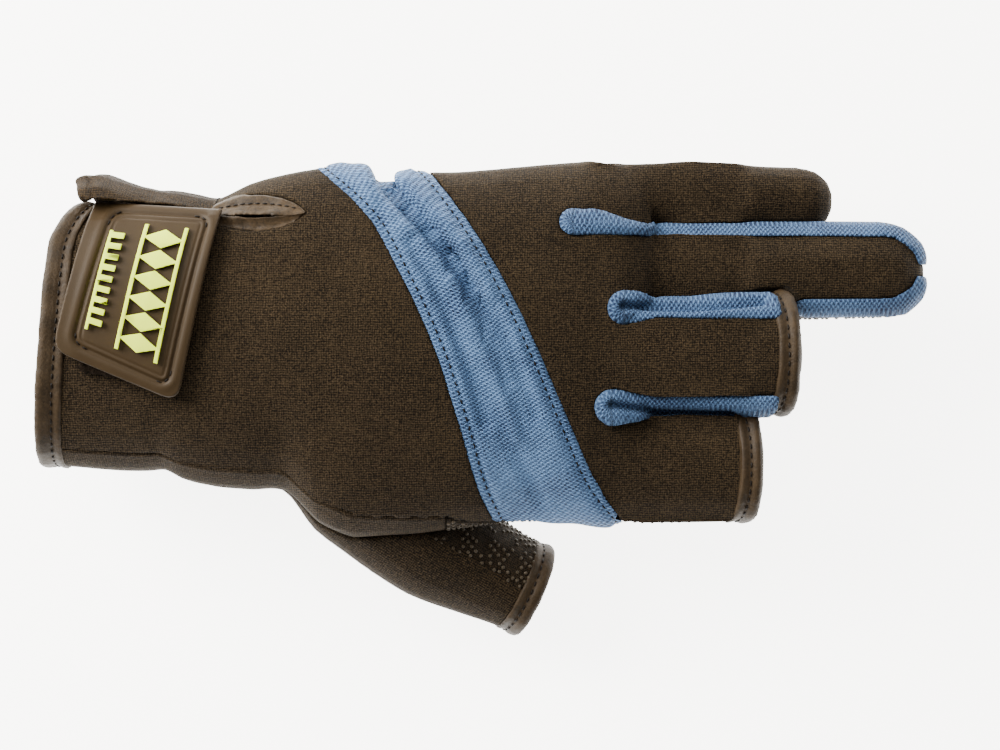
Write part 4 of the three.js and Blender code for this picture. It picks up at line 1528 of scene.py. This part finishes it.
# The glove's middle, which the lamps face, and where in plan the camera hangs, in metres.
MIDDLE = (0.118, 0, 0)
CAMERA_PLACE = (0.1179, -0.0119)

# The studio's own light: colour and strength.
SKY = ((1, 0.985, 0.96, 1), 0.5)

# The lamps' colour, and each one's place and size in metres and its share of the power.
LAMP_TINT = (1, 0.97, 0.92)
LIGHTS = (
    ("key", (-0.62, 0.42, 0.46), 0.6, 1.25),
    ("fill", (0.05, 0.75, 0.85), 1.0, 0.4),
)


class GLOVE_OT_stage(bpy.types.Operator):
    """Lays the plain floor and sets the soft light and the camera."""

    bl_idname = "glove.stage"
    bl_label = "Stage"

    def execute(self, context):
        stage = context.scene.glove_stage
        low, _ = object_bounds()
        bpy.ops.mesh.primitive_plane_add(size=8, location=(MIDDLE[0], MIDDLE[1], low.z - 0.0004))
        floor = context.object
        bpy.ops.object.transform_apply(location=True, rotation=False, scale=False)
        floor.name = "floor"
        floor.data.materials.append(floor_material("floor", stage.floor))
        floor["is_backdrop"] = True
        world = bpy.data.worlds.new("studio")
        context.scene.world = world
        world.use_nodes = True
        sky = world.node_tree.nodes["Background"]
        color, strength = SKY
        sky.inputs["Color"].default_value = color
        sky.inputs["Strength"].default_value = strength
        for name, place, size, share in LIGHTS:
            data = bpy.data.lights.new(name, "AREA")
            data.size = size
            data.energy = stage.light * share
            data.color = LAMP_TINT
            light = bpy.data.objects.new(name, data)
            context.scene.collection.objects.link(light)
            light.location = place
            aim = Vector(MIDDLE) - Vector(place)
            light.rotation_euler = aim.to_track_quat("-Z", "Y").to_euler()
            light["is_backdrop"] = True
        data = bpy.data.cameras.new("camera")
        data.lens = stage.lens
        data.sensor_width = 36
        data.clip_start = 0.01
        camera = bpy.data.objects.new("camera", data)
        context.scene.collection.objects.link(camera)
        camera.location = (*CAMERA_PLACE, stage.height)
        context.scene.camera = camera
        return {"FINISHED"}


class GLOVE_PT_panel(bpy.types.Panel):
    """Lists the glove's sizes, colours and pieces."""

    bl_label = "Fishing Glove"
    bl_idname = "GLOVE_PT_panel"
    bl_space_type = "VIEW_3D"
    bl_region_type = "UI"
    bl_category = "Glove"

    def draw(self, context):
        layout = self.layout
        for group in (context.scene.glove_cloth, context.scene.glove_trim, context.scene.glove_stage):
            box = layout.box()
            for key in group.__annotations__:
                box.prop(group, key)
        for operator in OPERATORS:
            layout.operator(operator.bl_idname)


OPERATORS = (
    GLOVE_OT_neoprene,
    GLOVE_OT_grip,
    GLOVE_OT_mesh,
    GLOVE_OT_bindings,
    GLOVE_OT_closure,
    GLOVE_OT_stitching,
    GLOVE_OT_stage,
)
GROUPS = (GloveCloth, GloveTrim, GloveStage)


def register():
    for item in (*GROUPS, *OPERATORS, GLOVE_PT_panel):
        bpy.utils.register_class(item)
    bpy.types.Scene.glove_cloth = PointerProperty(type=GloveCloth)
    bpy.types.Scene.glove_trim = PointerProperty(type=GloveTrim)
    bpy.types.Scene.glove_stage = PointerProperty(type=GloveStage)


def unregister():
    del bpy.types.Scene.glove_stage
    del bpy.types.Scene.glove_trim
    del bpy.types.Scene.glove_cloth
    for item in (GLOVE_PT_panel, *reversed(OPERATORS), *reversed(GROUPS)):
        bpy.utils.unregister_class(item)


def main():
    register()
    bpy.ops.glove.neoprene()
    bpy.ops.glove.grip()
    bpy.ops.glove.mesh()
    bpy.ops.glove.bindings()
    bpy.ops.glove.closure()
    bpy.ops.glove.stitching()
    bpy.ops.glove.stage()


if __name__ == "__main__":
    main()
